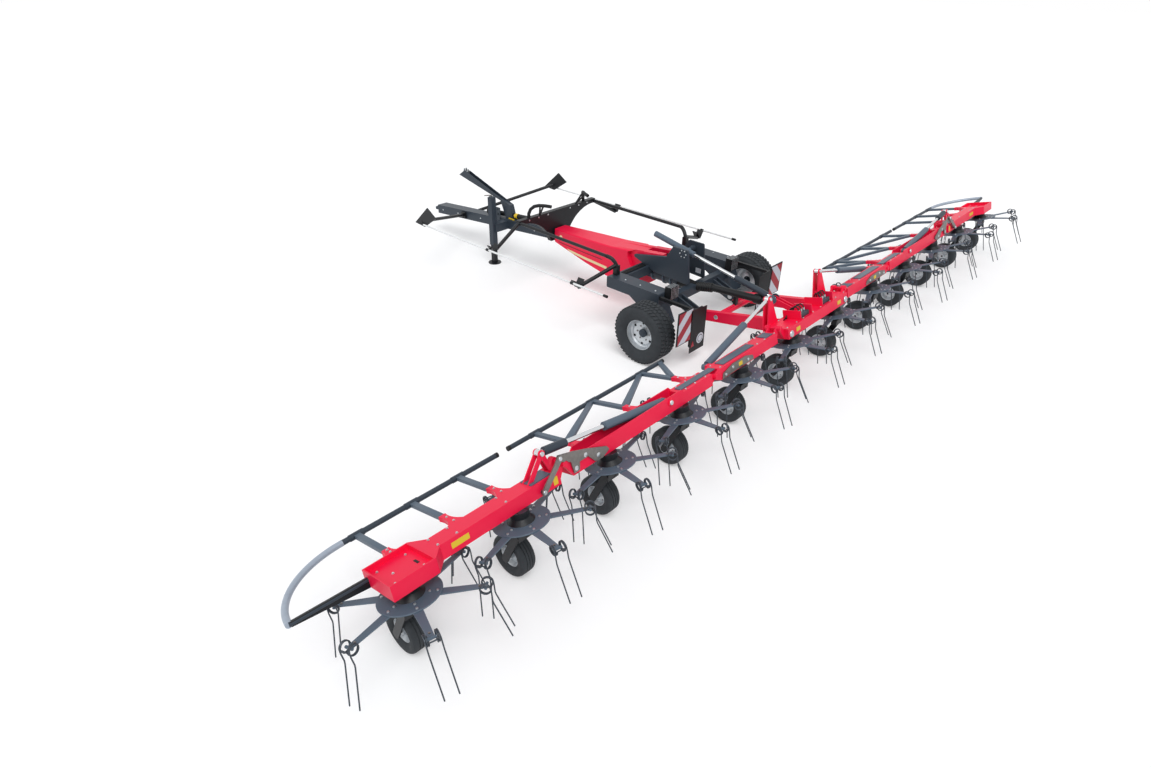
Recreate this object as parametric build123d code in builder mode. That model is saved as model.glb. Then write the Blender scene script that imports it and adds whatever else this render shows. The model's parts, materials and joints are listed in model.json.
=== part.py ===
import os
from math import atan2, cos, degrees, radians, sin

from build123d import *

# Trailed rotary hay tedder in its working position, millimetres.
# +X is forward, +Y is left, +Z is up, the ground is Z = 0.

# Main layout, lengths ahead are measured from the line of the rotor wheels
wheel_line_x = -3424.16
rotor_count = 12
rotor_pitch = 1110.0
boom_lean = 15.6
disc_ahead = -110.0
disc_z = 650.0
axle_ahead = 1606.0
half_track = 1237.0
hitch_ahead = 7740.0

# Rotor with spring tines
disc_r = 250.0
disc_t = 10.0
collar_r = 82.0
collar_h = 50.0
arm_count = 6
arm_reach = 580.0
arm_root = 110.0
arm_root_width = 84.0
arm_end_width = 50.0
arm_t = 12.0
odd_phase = 41.9
coil_r = 36.0
coil_length = 40.0
coil_sides = 8
tine_gap = 64.0
sleeve_size = 30.0
tine_size = 10.0
tine_knee_out = 34.0
tine_knee_down = 110.0
tine_tip_out = 112.0
tine_tip_down = 425.0
tine_overlap = 3.0

# Rotor wheel, its spindle and leg
wheel_sides = 24
wheel_r = 203.0
wheel_w = 165.0
wheel_tread_w = 102.0
wheel_shoulder_r = 180.0
wheel_rim_r = 105.0
wheel_dish_depth = 62.0
wheel_hub_r = 32.0
wheel_hub_w = 120.0
wheel_axle_r = 15.0
running_gap = 0.3
spindle_r = 45.0
spindle_drop = 150.0
housing_r = 120.0
housing_neck_r = 84.0
housing_neck_h = 40.0
leg_t = 14.0
leg_width = 74.0
leg_gap = 14.0

# Road wheel
tyre_sides = 36
tyre_r = 401.0
tyre_w = 338.0
tyre_tread_w = 262.0
tyre_shoulder_r = 330.0
tyre_bead_w = 240.0
rim_r = 205.0
rim_t = 14.0
rim_dish_depth = 70.0
rim_hub_r = 70.0
rim_hub_length = 110.0
road_axle_r = 34.0

# Boom beams, places across are measured from the middle of the machine
beam_low = 100.0
beam_high = 230.0
beam_ahead = 60.0
beam_half = 88.0
end_box_half = 200.0
end_box_in = 5890.0
end_box_out = 6285.0
tray_wall = 12.0
tray_depth = 45.0
fold_y = 830.0
contour_y = 2160.0
outer_y = 4440.0
hinge_gap = 75.0
hinge_rise = 28.0
knuckle_r = 34.0
pin_r = 16.0
pin_head_r = 30.0
pin_head_t = 12.0
ear_t = 24.0
ear_gap = 0.5
centre_half = 150.0
cheek_t = 12.0
cheek_rise = 34.0
cheek_in = 2760.0
cheek_out = 4180.0
trough_floor = 140.0
trough_boss_r = 40.0
trough_boss_t = 10.0

# Bare steel lever and link beside the outer hinge, pairs of y and up
plate_t = 12.0
plate_gap = 6.0
lever_stand_off = 8.0
lever_boss_r = 20.0
lever_bosses = ((4050, 160), (4332, 165))
lever_outline = ((4000, 110), (4095, 115), (4170, 205), (4280, 205), (4300, 130), (4365, 130), (4380, 250),
                 (4540, 330), (4510, 375), (4330, 330), (4120, 262), (3930, 190), (3905, 150))
link_low_y = 4740.0
link_low_up = 140.0
link_top_y = 4505.0
link_top_up = 345.0
link_width = 56.0

# Guard rail in front of the rotors
rail_ahead = 851.0
rail_up = 186.0
rail_r = 21.0
rail_sides = 12
rail_inner_y = 1980.0
hoop_start_y = 6150.0
hoop_end_ahead = 208.0
hoop_end_y = 6890.0
hoop_chords = 7
strut_width = 50.0
strut_t = 16.0
foot_end = 380.0
foot_root_half = 130.0
foot_end_half = 34.0
foot_bend_share = 0.72
foot_t = 46.0
outer_struts = (4980.0, 5480.0, 6020.0)
mid_struts = (2380.0, 3190.0, 4020.0)
tip_strut_r = 17.0
tip_strut_out = 60.0

# Cylinders of the wing fold, of the outer fold and of the top link
barrel_r = 42.0
rod_r = 22.0
eye_r = 34.0
eye_pin_r = 14.0
neck_length = 14.0
barrel_base = 30.0
rod_overlap = 60.0
eye_width = 50.0
lug_t = 14.0
wing_cylinder_ahead = 230.0
wing_lug_y = 2000.0
wing_lug_up = 190.0
wing_post_y = 620.0
wing_post_up = 540.0
wing_post_foot = 110.0
wing_barrel_length = 860.0
fold_clevis_y = 2950.0
fold_clevis_up = 205.0
fold_eye_out = 180.0
fold_eye_rise = 170.0
fold_frame_foot = 300.0
fold_bar_width = 44.0
fold_barrel_length = 880.0
top_front_ahead = 1915.0
top_front_z = 1114.0
top_rear_ahead = 490.0
top_rear_z = 840.0
top_barrel_front = 564.0
top_barrel_rear = 140.0
top_cap = 6.0
top_rod_overlap = 6.0
top_sleeve_r = 40.0
top_sleeve_start = 840.0
top_sleeve_gap = 90.0
trunnion_length = 40.0
trunnion_bush_r = 38.0
top_lug_root = 60.0

# Lift arms and the drive shaft that they carry
lift_front_ahead = 1350.0
lift_front_z = 480.0
lift_rear_ahead = 250.0
lift_rear_z = 700.0
lift_half = 420.0
lift_arm_t = 70.0
lift_front_r = 62.0
lift_rear_r = 84.0
lift_lug_r = 60.0
lift_pin_r = 24.0
tie_r = 45.0
tie_ahead = 1040.0
shaft_r = 42.0
shaft_front_ahead = 1430.0
shaft_front_z = 705.0
shaft_rear_ahead = 600.0
shaft_rear_z = 775.0
shaft_post_width = 60.0

# Hood, the red main beam, as sections from its front to its back
hood_edge_r = 22.0
hood_front = 4390.0
hood_front_low = 625.0
hood_front_high = 855.0
hood_front_half = 130.0
hood_mid = 3680.0
hood_mid_low = 490.0
hood_mid_high = 882.0
hood_mid_half = 185.0
hood_rear = 3150.0
hood_rear_low = 400.0
hood_rear_high = 906.0
hood_rear_half = 206.0
hood_end_low = 420.0
hood_end_high = 965.0
tail_end = 2200.0
tail_high = 1015.0
tail_t = 46.0
tail_slot_half = 66.0
tail_half = 160.0
notch_gap = 26.0
notch_core_half = 164.0
notch_corner_r = 36.0

# Tower, wheel legs and rear cross member
tower_half = 200.0
fin_t = 30.0
fin_tip = 2750.0
fin_tip_z = 895.0
fin_neck = 2110.0
fin_neck_z = 1026.0
fin_top_front = 2005.0
fin_top_rear = 1752.0
fin_top_z = 1205.0
fin_rear = 1690.0
fin_low_z = 712.0
fin_low_front = 2310.0
fin_low_front_z = 740.0
fin_corner_r = 24.0
fin_edge_r = 9.0
leg_in = 700.0
leg_out = 930.0
leg_low = 660.0
leg_high = 822.0
leg_rear = 1650.0
leg_knee = 2150.0
leg_corner_r = 18.0
hub_boss = 90.0
cross_tube_front = 2560.0
cross_tube_rear = 2400.0
cross_tube_low = 670.0
cross_tube_high = 806.0
rear_tube_front = 1760.0
rear_tube_rear = 1656.0
rear_tube_low = 560.0
rear_tube_high = 690.0
lift_lug_root_z = 625.0
gearbox_r = 96.0
gearbox_rear = 1960.0
gearbox_flange_r = 112.0
gearbox_flange_t = 26.0
gearbox_z = 650.0
output_r = 40.0

# Rear lamps and warning boards
lamp_y = 715.0
lamp_half = 88.0
lamp_depth = 90.0
lamp_low = 726.0
lamp_high = 900.0
lamp_rib_depth = 12.0
lamp_rib_pitch = 29.0
lamp_rib_count = 6
board_ahead = 1100.0
board_t = 14.0
board_in = 860.0
board_out = 1160.0
board_low = 500.0
board_high = 790.0
board_bar_size = 40.0
board_bar_y = 900.0
board_bar_z = 770.0
board_tilt_cut = 60.0
panel_t = 12.0
panel_in = 720.0
panel_out = 970.0
panel_low = 260.0
panel_corner_r = 30.0

# Drawbar, hitch, drive input, hose stand and jack
tongue_half = 100.0
tongue_height = 156.0
tongue_rear_z = 735.0
tongue_front_z = 458.0
tongue_front = 7560.0
shank_half = 40.0
shank_overlap = 80.0
eye_bore_r = 20.0
hitch_ring_r = 52.0
hitch_ring_t = 40.0
hitch_z = 430.0
pto_r = 17.46
pto_length = 90.0
pto_z = 735.0
pedestal_rear = 5980.0
pedestal_front = 6060.0
pedestal_half = 70.0
pedestal_rise = 60.0
stand_width = 90.0
stand_wall = 10.0
stand_foot_rear = 5470.0
stand_foot_front = 5640.0
stand_knee_rear = 5560.0
stand_knee_rear_z = 950.0
stand_knee_front = 5800.0
stand_knee_front_z = 985.0
stand_tip_rear = 6745.0
stand_tip_rear_z = 1325.0
stand_tip_front = 6900.0
stand_tip_front_z = 1218.0
jack_ahead = 5630.0
jack_y = 380.0
jack_size = 76.0
jack_wall = 10.0
jack_sleeve_low = 330.0
jack_sleeve_high = 1150.0
jack_top = 820.0
jack_lift = 310.0
jack_foot_r = 110.0
jack_foot_t = 14.0
jack_bracket_half = 70.0
peg_plate_front = 6010.0
peg_plate_rear = 5750.0
peg_plate_high = 880.0
peg_plate_t = 12.0
peg_hole_r = 18.0
peg_pitch = 80.0

# Yoke and racks that hold the folded wings
yoke_rear = 4420.0
yoke_front = 4500.0
yoke_half = 850.0
yoke_high = 1136.0
yoke_end_low = 1066.0
yoke_foot_half = 180.0
yoke_bend_y = 430.0
yoke_bend_z = 965.0
yoke_foot_low = 650.0
tube_r = 24.0
tube_y = 830.0
tube_z = 1096.0
tube_rear_ahead = 2640.0
tube_rear_y = 860.0
tube_rear_z = 1070.0
stay_size = 70.0
stay_ahead = 2500.0
stay_y = 800.0
stay_high = 960.0
stay_bow = 40.0
rear_arm_share = 0.12
arm_tube_r = 28.0
mid_fork_ahead = 4430.0
mid_fork_z = 785.0
rear_fork_ahead = 2680.0
rear_fork_z = 755.0
fork_y = 1390.0
prong_rise = 112.0
prong_spread = 72.0
prong_width = 110.0
prong_t = 12.0
front_arm_ahead = 6760.0
arm_pad_half = 55.0
arm_pad_t = 36.0
front_arm_end = 6060.0
front_arm_end_z = 900.0
rack_plate_t = 14.0
rack_plate_outline = ((5910, 1150), (5700, 1020), (6020, 812), (6280, 830))
side_rod_y = 1500.0
side_rod_r = 14.0
side_rod_z = 850.0
side_rod_front = 6080.0
side_rod_rear = 2060.0
clip_r = 22.0
clip_length = 50.0
clip_stub_r = 10.0
clip_reach = 4.0

lean = radians(boom_lean)
boom_forward = Vector(cos(lean), 0, -sin(lean))
boom_up = Vector(sin(lean), 0, cos(lean))
across = Vector(0, 1, 0)
upward = Vector(0, 0, 1)
hinge_up = beam_high + hinge_rise
low_hinge_up = (beam_low + beam_high) / 2
fork_spread = beam_half - ear_t / 2
tongue_spread = fork_spread - ear_t - ear_gap
lug_spread = eye_width / 2 + lug_t / 2 + ear_gap
rack_plate_y = side_rod_y - side_rod_r - rack_plate_t / 2


def rotor_y(index):
    return ((rotor_count - 1) / 2 - index) * rotor_pitch


def ground_point(ahead, y, z):
    return Vector(wheel_line_x + ahead, y, z)


def boom_point(ahead, y, up):
    # A point in the boom's leaning frame, whose zero is the rotor discs' line
    return ground_point(disc_ahead, y, disc_z) + boom_forward * ahead + boom_up * up


def boom_plane(up, y=0.0):
    return Plane(origin=boom_point(0, y, up), x_dir=boom_forward, z_dir=boom_up)


def face_plane(ahead):
    # The boom's cross plane, its x along Y and its y along the boom's up
    return Plane(origin=boom_point(ahead, 0, 0), x_dir=(0, 1, 0), z_dir=boom_forward)


def tongue_z(ahead):
    # Height of the tongue's middle line
    share = (ahead - hood_front) / (tongue_front - hood_front)
    return tongue_rear_z + (tongue_front_z - tongue_rear_z) * share


def round_bar(start, end, radius, bore=0.0):
    # A round bar or tube between two points
    run = end - start
    with BuildSketch(Plane(origin=start, z_dir=run)) as section:
        Circle(radius)
        if bore:
            Circle(bore, mode=Mode.SUBTRACT)
    extrude(section.sketch, amount=run.length)


def flat_bar(start, end, width, thickness, wide_dir):
    # A bar of oblong section between two points, wide along wide_dir
    run = end - start
    with BuildSketch(Plane(origin=start, x_dir=wide_dir, z_dir=run)) as section:
        Rectangle(width, thickness)
    extrude(section.sketch, amount=run.length)


def block(low, high, mode=Mode.ADD):
    # An upright box between two opposite corners
    size = high - low
    with BuildSketch(Plane(origin=(low + high) * 0.5 - Vector(0, 0, size.Z / 2))) as base:
        Rectangle(size.X, size.Y)
    extrude(base.sketch, amount=size.Z, mode=mode)


def plate(plane, outline, thickness, corner=0.0, mode=Mode.ADD):
    # A plate about a plane, from its outline, its corners rounded
    with BuildSketch(plane) as face:
        with BuildLine():
            Polyline(*outline, close=True)
        make_face()
        if corner:
            fillet(face.vertices(), corner)
    extrude(face.sketch, amount=thickness / 2, both=True, mode=mode)


def side_plate(outline, y, thickness, corner=0.0, mode=Mode.ADD):
    # A plate seen from the side, its outline as pairs of ahead and z
    points = [(wheel_line_x + ahead, z) for ahead, z in outline]
    plate(Plane.XZ.offset(-y), points, thickness, corner, mode)


def cross_pin(centre, radius, length, direction):
    # A pin centred on a point, along a direction
    half = direction * (length / 2)
    round_bar(centre - half, centre + half, radius)


def tapered_link(start, end, start_r, end_r, thickness, bore):
    # A link of the outline around two circles, bored at both, upright along X and Z
    with BuildSketch(Plane.XZ.offset(-start.Y)) as link:
        with Locations((start.X, start.Z)):
            Circle(start_r)
        with Locations((end.X, end.Z)):
            Circle(end_r)
        make_hull()
        with Locations((start.X, start.Z), (end.X, end.Z)):
            Circle(bore, mode=Mode.SUBTRACT)
    extrude(link.sketch, amount=thickness / 2, both=True)


def ring_wheel(sides, sections):
    # Facetted tyre about Y from its stations across, each a pair of y and radius
    for (y_low, r_low), (y_high, r_high) in zip(sections, sections[1:]):
        rings = []
        for y, r in ((y_low, r_low), (y_high, r_high)):
            with BuildSketch(Plane(origin=(0, y, 0), x_dir=(1, 0, 0), z_dir=(0, 1, 0))) as ring:
                RegularPolygon(r, sides, major_radius=False, rotation=180 / sides)
            rings.append(ring.sketch)
        loft(rings, ruled=True)


def round_cut(y_low, y_high, radius):
    # A round hole along Y through the wheel being built
    with BuildSketch(Plane(origin=(0, y_low, 0), x_dir=(1, 0, 0), z_dir=(0, 1, 0))) as hole:
        Circle(radius)
    extrude(hole.sketch, amount=y_high - y_low, mode=Mode.SUBTRACT)


# One rotor in its own frame, its disc's top at Z = 0 and its first arm along X
with BuildPart() as rotor:
    with BuildSketch():
        Circle(disc_r)
        Circle(spindle_r + running_gap, mode=Mode.SUBTRACT)
    extrude(amount=-disc_t)
    with BuildSketch(Plane.XY.offset(-disc_t)):
        Circle(collar_r)
        Circle(spindle_r + running_gap, mode=Mode.SUBTRACT)
    extrude(amount=-collar_h)
    for arm in range(arm_count):
        turn = Rotation(0, 0, arm * 360 / arm_count)
        radial = (turn * Location((1, 0, 0))).position
        tangent = (turn * Location((0, 1, 0))).position
        plate(
            Plane(origin=-upward * (disc_t + arm_t / 2), x_dir=radial, z_dir=upward),
            (
                (arm_root, -arm_root_width / 2),
                (arm_reach, -arm_end_width / 2),
                (arm_reach, arm_end_width / 2),
                (arm_root, arm_root_width / 2),
            ),
            arm_t,
        )
        coil = radial * arm_reach - upward * (disc_t + arm_t / 2)
        coil_end = coil - tangent * (coil_length / 2)
        with BuildSketch(Plane(origin=coil_end, x_dir=radial, z_dir=tangent)) as ring:
            RegularPolygon(coil_r, coil_sides)
        extrude(ring.sketch, amount=coil_length)
        for hand in (-1, 1):
            root = coil + tangent * (hand * tine_gap / 2)
            knee = root + radial * tine_knee_out - upward * tine_knee_down
            tip = root + radial * tine_tip_out - upward * tine_tip_down
            flat_bar(root - tangent * (hand * tine_gap / 4), root, sleeve_size, sleeve_size, radial)
            flat_bar(root, knee, tine_size, tine_size, tangent)
            flat_bar(knee - (tip - knee).normalized() * tine_overlap, tip, tine_size, tine_size, tangent)

# One rotor wheel about its own centre, its axle along Y
with BuildPart() as rotor_wheel:
    ring_wheel(
        wheel_sides,
        (
            (-wheel_w / 2, wheel_shoulder_r),
            (-wheel_tread_w / 2, wheel_r),
            (wheel_tread_w / 2, wheel_r),
            (wheel_w / 2, wheel_shoulder_r),
        ),
    )
    for hand in (-1, 1):
        wall = Plane(origin=(0, hand * wheel_w / 2, 0), x_dir=(1, 0, 0), z_dir=(0, -hand, 0))
        with BuildSketch(wall) as dish:
            RegularPolygon(wheel_rim_r, wheel_sides)
        extrude(dish.sketch, amount=wheel_dish_depth, mode=Mode.SUBTRACT)
    with BuildSketch(Plane(origin=(0, -wheel_hub_w / 2, 0), x_dir=(1, 0, 0), z_dir=(0, 1, 0))) as hub:
        RegularPolygon(wheel_hub_r, wheel_sides // 2)
    extrude(hub.sketch, amount=wheel_hub_w)
    round_cut(-wheel_w, wheel_w, wheel_axle_r + running_gap)

os.makedirs("parts", exist_ok=True)


def write(part, label):
    part.label = label
    export_step(part, f"parts/{label}.step")


even_phase = 90 - odd_phase
for index in range(rotor_count):
    number = f"{index + 1:02d}"
    phase = odd_phase if index % 2 == 0 else even_phase
    with BuildPart() as placed_rotor:
        with Locations(boom_plane(0, y=rotor_y(index)).location * Rotation(0, 0, phase)):
            add(rotor.part)
    write(placed_rotor.part, f"rotor_{number}")
    with BuildPart() as placed_wheel:
        with Locations(ground_point(0, rotor_y(index), wheel_r)):
            add(rotor_wheel.part)
    write(placed_wheel.part, f"rotor_wheel_{number}")


def rotor_carrier(y, side):
    # Gear housing under the beam, spindle through the disc, leg and stub axle
    with BuildSketch(boom_plane(running_gap, y)) as housing:
        Circle(housing_r)
    housing_h = housing_neck_h - running_gap
    extrude(housing.sketch, amount=housing_h, taper=degrees(atan2(housing_r - housing_neck_r, housing_h)))
    round_bar(boom_point(0, y, housing_neck_h), boom_point(0, y, beam_low), housing_neck_r)
    foot = boom_point(0, y, -spindle_drop)
    round_bar(foot, boom_point(0, y, running_gap), spindle_r)
    leg_y = y + side * (wheel_w / 2 + leg_gap + leg_t / 2)
    leg_top = Vector(foot.X, leg_y, foot.Z + leg_width / 2)
    flat_bar(Vector(foot.X, y - side * spindle_r, leg_top.Z), leg_top, leg_width, leg_width, Vector(1, 0, 0))
    hub = ground_point(0, leg_y, wheel_r)
    run = hub - leg_top
    middle = (hub + leg_top) * 0.5
    with BuildSketch(Plane(origin=middle, x_dir=run, z_dir=(0, 1, 0))) as leg:
        SlotCenterToCenter(run.length, leg_width)
    extrude(leg.sketch, amount=leg_t / 2, both=True)
    round_bar(hub, ground_point(0, y - side * wheel_hub_w / 2, wheel_r), wheel_axle_r)


def beam_plate(outline, low, high):
    # A part of a beam from its plan outline, as pairs of ahead and y
    plate(boom_plane((low + high) / 2), outline, high - low)


def rect_outline(y_in, y_out, half):
    return (
        (beam_ahead - half, y_in),
        (beam_ahead + half, y_in),
        (beam_ahead + half, y_out),
        (beam_ahead - half, y_out),
    )


def ear(ahead, y, up, beam_y, bore=0.0):
    # One hinge ear, a plate from the beam's end to a round eye
    with BuildSketch(face_plane(ahead)) as shape:
        with BuildLine():
            Polyline(
                (beam_y, beam_low),
                (y, up - knuckle_r),
                (y, up + knuckle_r),
                (beam_y, beam_high),
                close=True,
            )
        make_face()
        with Locations((y, up)):
            Circle(knuckle_r)
            if bore:
                Circle(bore, mode=Mode.SUBTRACT)
    extrude(shape.sketch, amount=ear_t / 2, both=True)


def fork(y, up, beam_y):
    # The outer pair of ears of a hinge, with its pin and the pin's heads
    for hand in (-1, 1):
        ear(beam_ahead + hand * fork_spread, y, up, beam_y)
        head = boom_point(beam_ahead + hand * (fork_spread + ear_t / 2 + pin_head_t / 2), y, up)
        cross_pin(head, pin_head_r, pin_head_t, boom_forward)
    cross_pin(boom_point(beam_ahead, y, up), pin_r, 2 * fork_spread + ear_t, boom_forward)


def tongue(y, up, beam_y):
    # The inner pair of ears, turning on the fork's pin
    for hand in (-1, 1):
        ear(beam_ahead + hand * tongue_spread, y, up, beam_y, bore=pin_r + running_gap)


def lug_pair(centre, direction, root, spread, pinned=True):
    # Two lugs that hold a cylinder's eye, with a pin where the barrel turns
    for hand in (-1, 1):
        shift = direction * (hand * spread)
        flat_bar(root + shift, centre + shift, 2 * eye_r, lug_t, direction.cross(centre - root))
        cross_pin(centre + shift, eye_r, lug_t, direction)
    if pinned:
        cross_pin(centre, eye_pin_r, 2 * spread + lug_t, direction)


def strut_foot(y, half):
    # The red foot that carries a strut of the guard rail, curved where it spreads to the beam
    root = beam_ahead + half - tray_wall
    bend = root + (foot_end - root) * (1 - foot_bend_share)
    bend_half = foot_end_half + (foot_root_half - foot_end_half) * (1 - foot_bend_share)
    with BuildSketch(boom_plane(rail_up)) as foot:
        with BuildLine():
            Line((root, y + foot_root_half), (root, y - foot_root_half))
            ThreePointArc((root, y - foot_root_half), (bend, y - bend_half), (foot_end, y - foot_end_half))
            Line((foot_end, y - foot_end_half), (foot_end, y + foot_end_half))
            ThreePointArc((foot_end, y + foot_end_half), (bend, y + bend_half), (root, y + foot_root_half))
        make_face()
    extrude(foot.sketch, amount=foot_t / 2, both=True)


def strut(y, rail_y, start_ahead):
    # A flat strut from a red foot to the guard rail
    start = boom_point(start_ahead, y, rail_up)
    end = boom_point(rail_ahead, rail_y, rail_up)
    flat_bar(start, end, strut_width, strut_t, boom_up.cross(end - start))


# Outer wing, its end widened to a tray over the last rotor
outer_in = outer_y + hinge_gap
fold_eye = boom_point(beam_ahead, outer_y + fold_eye_out, hinge_up + fold_eye_rise)
with BuildPart() as wing_outer:
    taper_y = end_box_in - (end_box_half - beam_half)
    beam_plate(
        (
            (beam_ahead - beam_half, outer_in),
            (beam_ahead + beam_half, outer_in),
            (beam_ahead + beam_half, taper_y),
            (beam_ahead + end_box_half, end_box_in),
            (beam_ahead + end_box_half, end_box_out),
            (beam_ahead - end_box_half, end_box_out),
            (beam_ahead - end_box_half, end_box_in),
            (beam_ahead - beam_half, taper_y),
        ),
        beam_low,
        beam_high,
    )
    tray = rect_outline(end_box_in + tray_wall, end_box_out - tray_wall, end_box_half - tray_wall)
    plate(boom_plane(beam_high), tray, 2 * tray_depth, mode=Mode.SUBTRACT)
    tongue(outer_y, hinge_up, outer_in)
    for hand in (-1, 1):
        shift = boom_forward * (hand * lug_spread)
        for foot_out in (eye_r, fold_frame_foot):
            foot = boom_point(beam_ahead, outer_in + foot_out, beam_high - tray_wall)
            wide = boom_forward.cross(fold_eye - foot)
            flat_bar(foot + shift, fold_eye + shift, fold_bar_width, lug_t, wide)
        cross_pin(fold_eye + shift, eye_r, lug_t, boom_forward)
    for strut_y in outer_struts:
        strut_foot(strut_y, end_box_half if strut_y > end_box_in else beam_half)
write(wing_outer.part, "wing_outer_left")

# Middle wing, an open trough between its hinges for the fold cylinder to lie in
mid_out = outer_y - hinge_gap
mid_in = contour_y + hinge_gap
fold_clevis = boom_point(beam_ahead, fold_clevis_y, fold_clevis_up)
with BuildPart() as wing_mid:
    beam_plate(rect_outline(mid_in, mid_out, beam_half), beam_low, beam_high)
    trough = rect_outline(cheek_in, cheek_out, beam_half - cheek_t)
    plate(boom_plane(beam_high), trough, 2 * (beam_high - trough_floor), mode=Mode.SUBTRACT)
    for hand in (-1, 1):
        boss = beam_ahead + hand * (beam_half + trough_boss_t / 2)
        cross_pin(boom_point(boss, fold_clevis_y, fold_clevis_up), trough_boss_r, trough_boss_t, boom_forward)
        cheek = beam_ahead + hand * (beam_half - cheek_t / 2)
        plate(
            face_plane(cheek),
            (
                (cheek_in - cheek_rise, beam_high),
                (cheek_in, beam_high + cheek_rise),
                (cheek_out, beam_high + cheek_rise),
                (cheek_out + cheek_rise, beam_high),
            ),
            cheek_t,
        )
    fork(outer_y, hinge_up, mid_out)
    tongue(contour_y, low_hinge_up, mid_in)
    clevis_foot = boom_point(beam_ahead, fold_clevis_y, trough_floor - lug_t)
    lug_pair(fold_clevis, boom_forward, clevis_foot, lug_spread)
    for strut_y in mid_struts:
        strut_foot(strut_y, beam_half)
write(wing_mid.part, "wing_mid_left")

# Inner wing
inner_out = contour_y - hinge_gap
inner_in = fold_y + hinge_gap
wing_lug = boom_point(wing_cylinder_ahead, wing_lug_y, wing_lug_up)
with BuildPart() as wing_inner:
    beam_plate(rect_outline(inner_in, inner_out, beam_half), beam_low, beam_high)
    fork(contour_y, low_hinge_up, inner_out)
    tongue(fold_y, hinge_up, inner_in)
    lug_root = boom_point(beam_ahead + beam_half - lug_t, wing_lug_y, wing_lug_up)
    flat_bar(lug_root, boom_point(wing_cylinder_ahead - eye_width / 2 - ear_gap, wing_lug_y, wing_lug_up),
             2 * eye_r, 2 * eye_r, across)
    cross_pin(wing_lug, eye_pin_r, eye_width + 4 * ear_gap, boom_forward)
write(wing_inner.part, "wing_inner_left")

# Centre frame with both fold hinges, cylinder posts and the lift lugs
centre_end = fold_y - hinge_gap
wing_post = boom_point(wing_cylinder_ahead, wing_post_y, wing_post_up)
top_rear = ground_point(top_rear_ahead, 0, top_rear_z)
with BuildPart() as centre_frame:
    beam_plate(rect_outline(-centre_end, centre_end, centre_half), beam_low, beam_high)
    fork(fold_y, hinge_up, centre_end)
    for hand in (-1, 1):
        shift = hand * lug_spread
        plate(
            face_plane(wing_cylinder_ahead + shift),
            (
                (wing_post_y - wing_post_foot, beam_low),
                (wing_post_y + wing_post_foot, beam_low),
                (wing_post_y + wing_post_foot, beam_high),
                (wing_post_y + eye_r, wing_post_up),
                (wing_post_y - eye_r, wing_post_up),
                (wing_post_y - wing_post_foot, beam_high),
            ),
            lug_t,
        )
        cross_pin(wing_post + boom_forward * shift, eye_r, lug_t, boom_forward)
    arm_start = boom_point(beam_ahead + centre_half - lug_t, wing_post_y, beam_low + eye_r)
    flat_bar(arm_start, boom_point(wing_cylinder_ahead + lug_spread, wing_post_y, beam_low + eye_r),
             2 * wing_post_foot, 2 * eye_r, across)
    lift_rear = ground_point(lift_rear_ahead, lift_half, lift_rear_z)
    for hand in (-1, 1):
        lug_y = across * (hand * (lift_arm_t / 2 + ear_gap + ear_t / 2))
        flat_bar(boom_point(beam_ahead, lift_half, low_hinge_up) + lug_y, lift_rear + lug_y,
                 2 * lift_lug_r, ear_t, upward)
        cross_pin(lift_rear + lug_y, lift_lug_r, ear_t, across)
    cross_pin(lift_rear, lift_pin_r, lift_arm_t + 2 * ear_t, across)
    top_lug_foot = boom_point(beam_ahead + centre_half - top_lug_root, 0, low_hinge_up)
    lug_pair(top_rear, across, top_lug_foot, lug_spread, False)
    mirror(centre_frame.part, about=Plane.XZ)
write(centre_frame.part, "centre_frame")

# Guard rails, gear housings and wheel legs in dark paint, one node for each wing
with BuildPart() as outer_fittings:
    hoop_depth = rail_ahead - hoop_end_ahead
    hoop_reach = hoop_end_y - hoop_start_y
    hoop_r = (hoop_depth * hoop_depth + hoop_reach * hoop_reach) / (2 * hoop_depth)
    hoop_turn = atan2(hoop_reach, hoop_r - hoop_depth)
    bends = [boom_point(rail_ahead, outer_in, rail_up)]
    for step in range(hoop_chords + 1):
        turn = hoop_turn * step / hoop_chords
        bend_ahead = rail_ahead - hoop_r * (1 - cos(turn))
        bends.append(boom_point(bend_ahead, hoop_start_y + hoop_r * sin(turn), rail_up))
    with BuildLine() as rail_path:
        Polyline(*bends)
    with BuildSketch(Plane(origin=bends[0], z_dir=bends[1] - bends[0])) as rail_section:
        RegularPolygon(rail_r, rail_sides)
    sweep(rail_section.sketch, path=rail_path.line, transition=Transition.RIGHT)
    for strut_y in outer_struts:
        strut(strut_y, strut_y, foot_end)
    tip_bend = boom_point(hoop_end_ahead, end_box_out + tip_strut_out, low_hinge_up)
    round_bar(boom_point(hoop_end_ahead, end_box_out, low_hinge_up), tip_bend, tip_strut_r)
    round_bar(tip_bend, boom_point(hoop_end_ahead, hoop_end_y, rail_up), tip_strut_r)
    link_layer = beam_ahead - beam_half - lever_stand_off - plate_t - plate_gap - plate_t / 2
    link_low = boom_point(link_layer, link_low_y, link_low_up)
    link_top = boom_point(link_layer, link_top_y, link_top_up)
    link_run = link_top - link_low
    with BuildSketch(Plane(origin=(link_low + link_top) * 0.5, x_dir=link_run, z_dir=boom_forward)) as link:
        SlotCenterToCenter(link_run.length, link_width)
    extrude(link.sketch, amount=plate_t / 2, both=True)
    round_bar(link_low, boom_point(beam_ahead - beam_half, link_low_y, link_low_up), pin_r)
    rotor_carrier(rotor_y(0), 1)
    rotor_carrier(rotor_y(1), 1)
write(outer_fittings.part, "outer_fittings_left")

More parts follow.
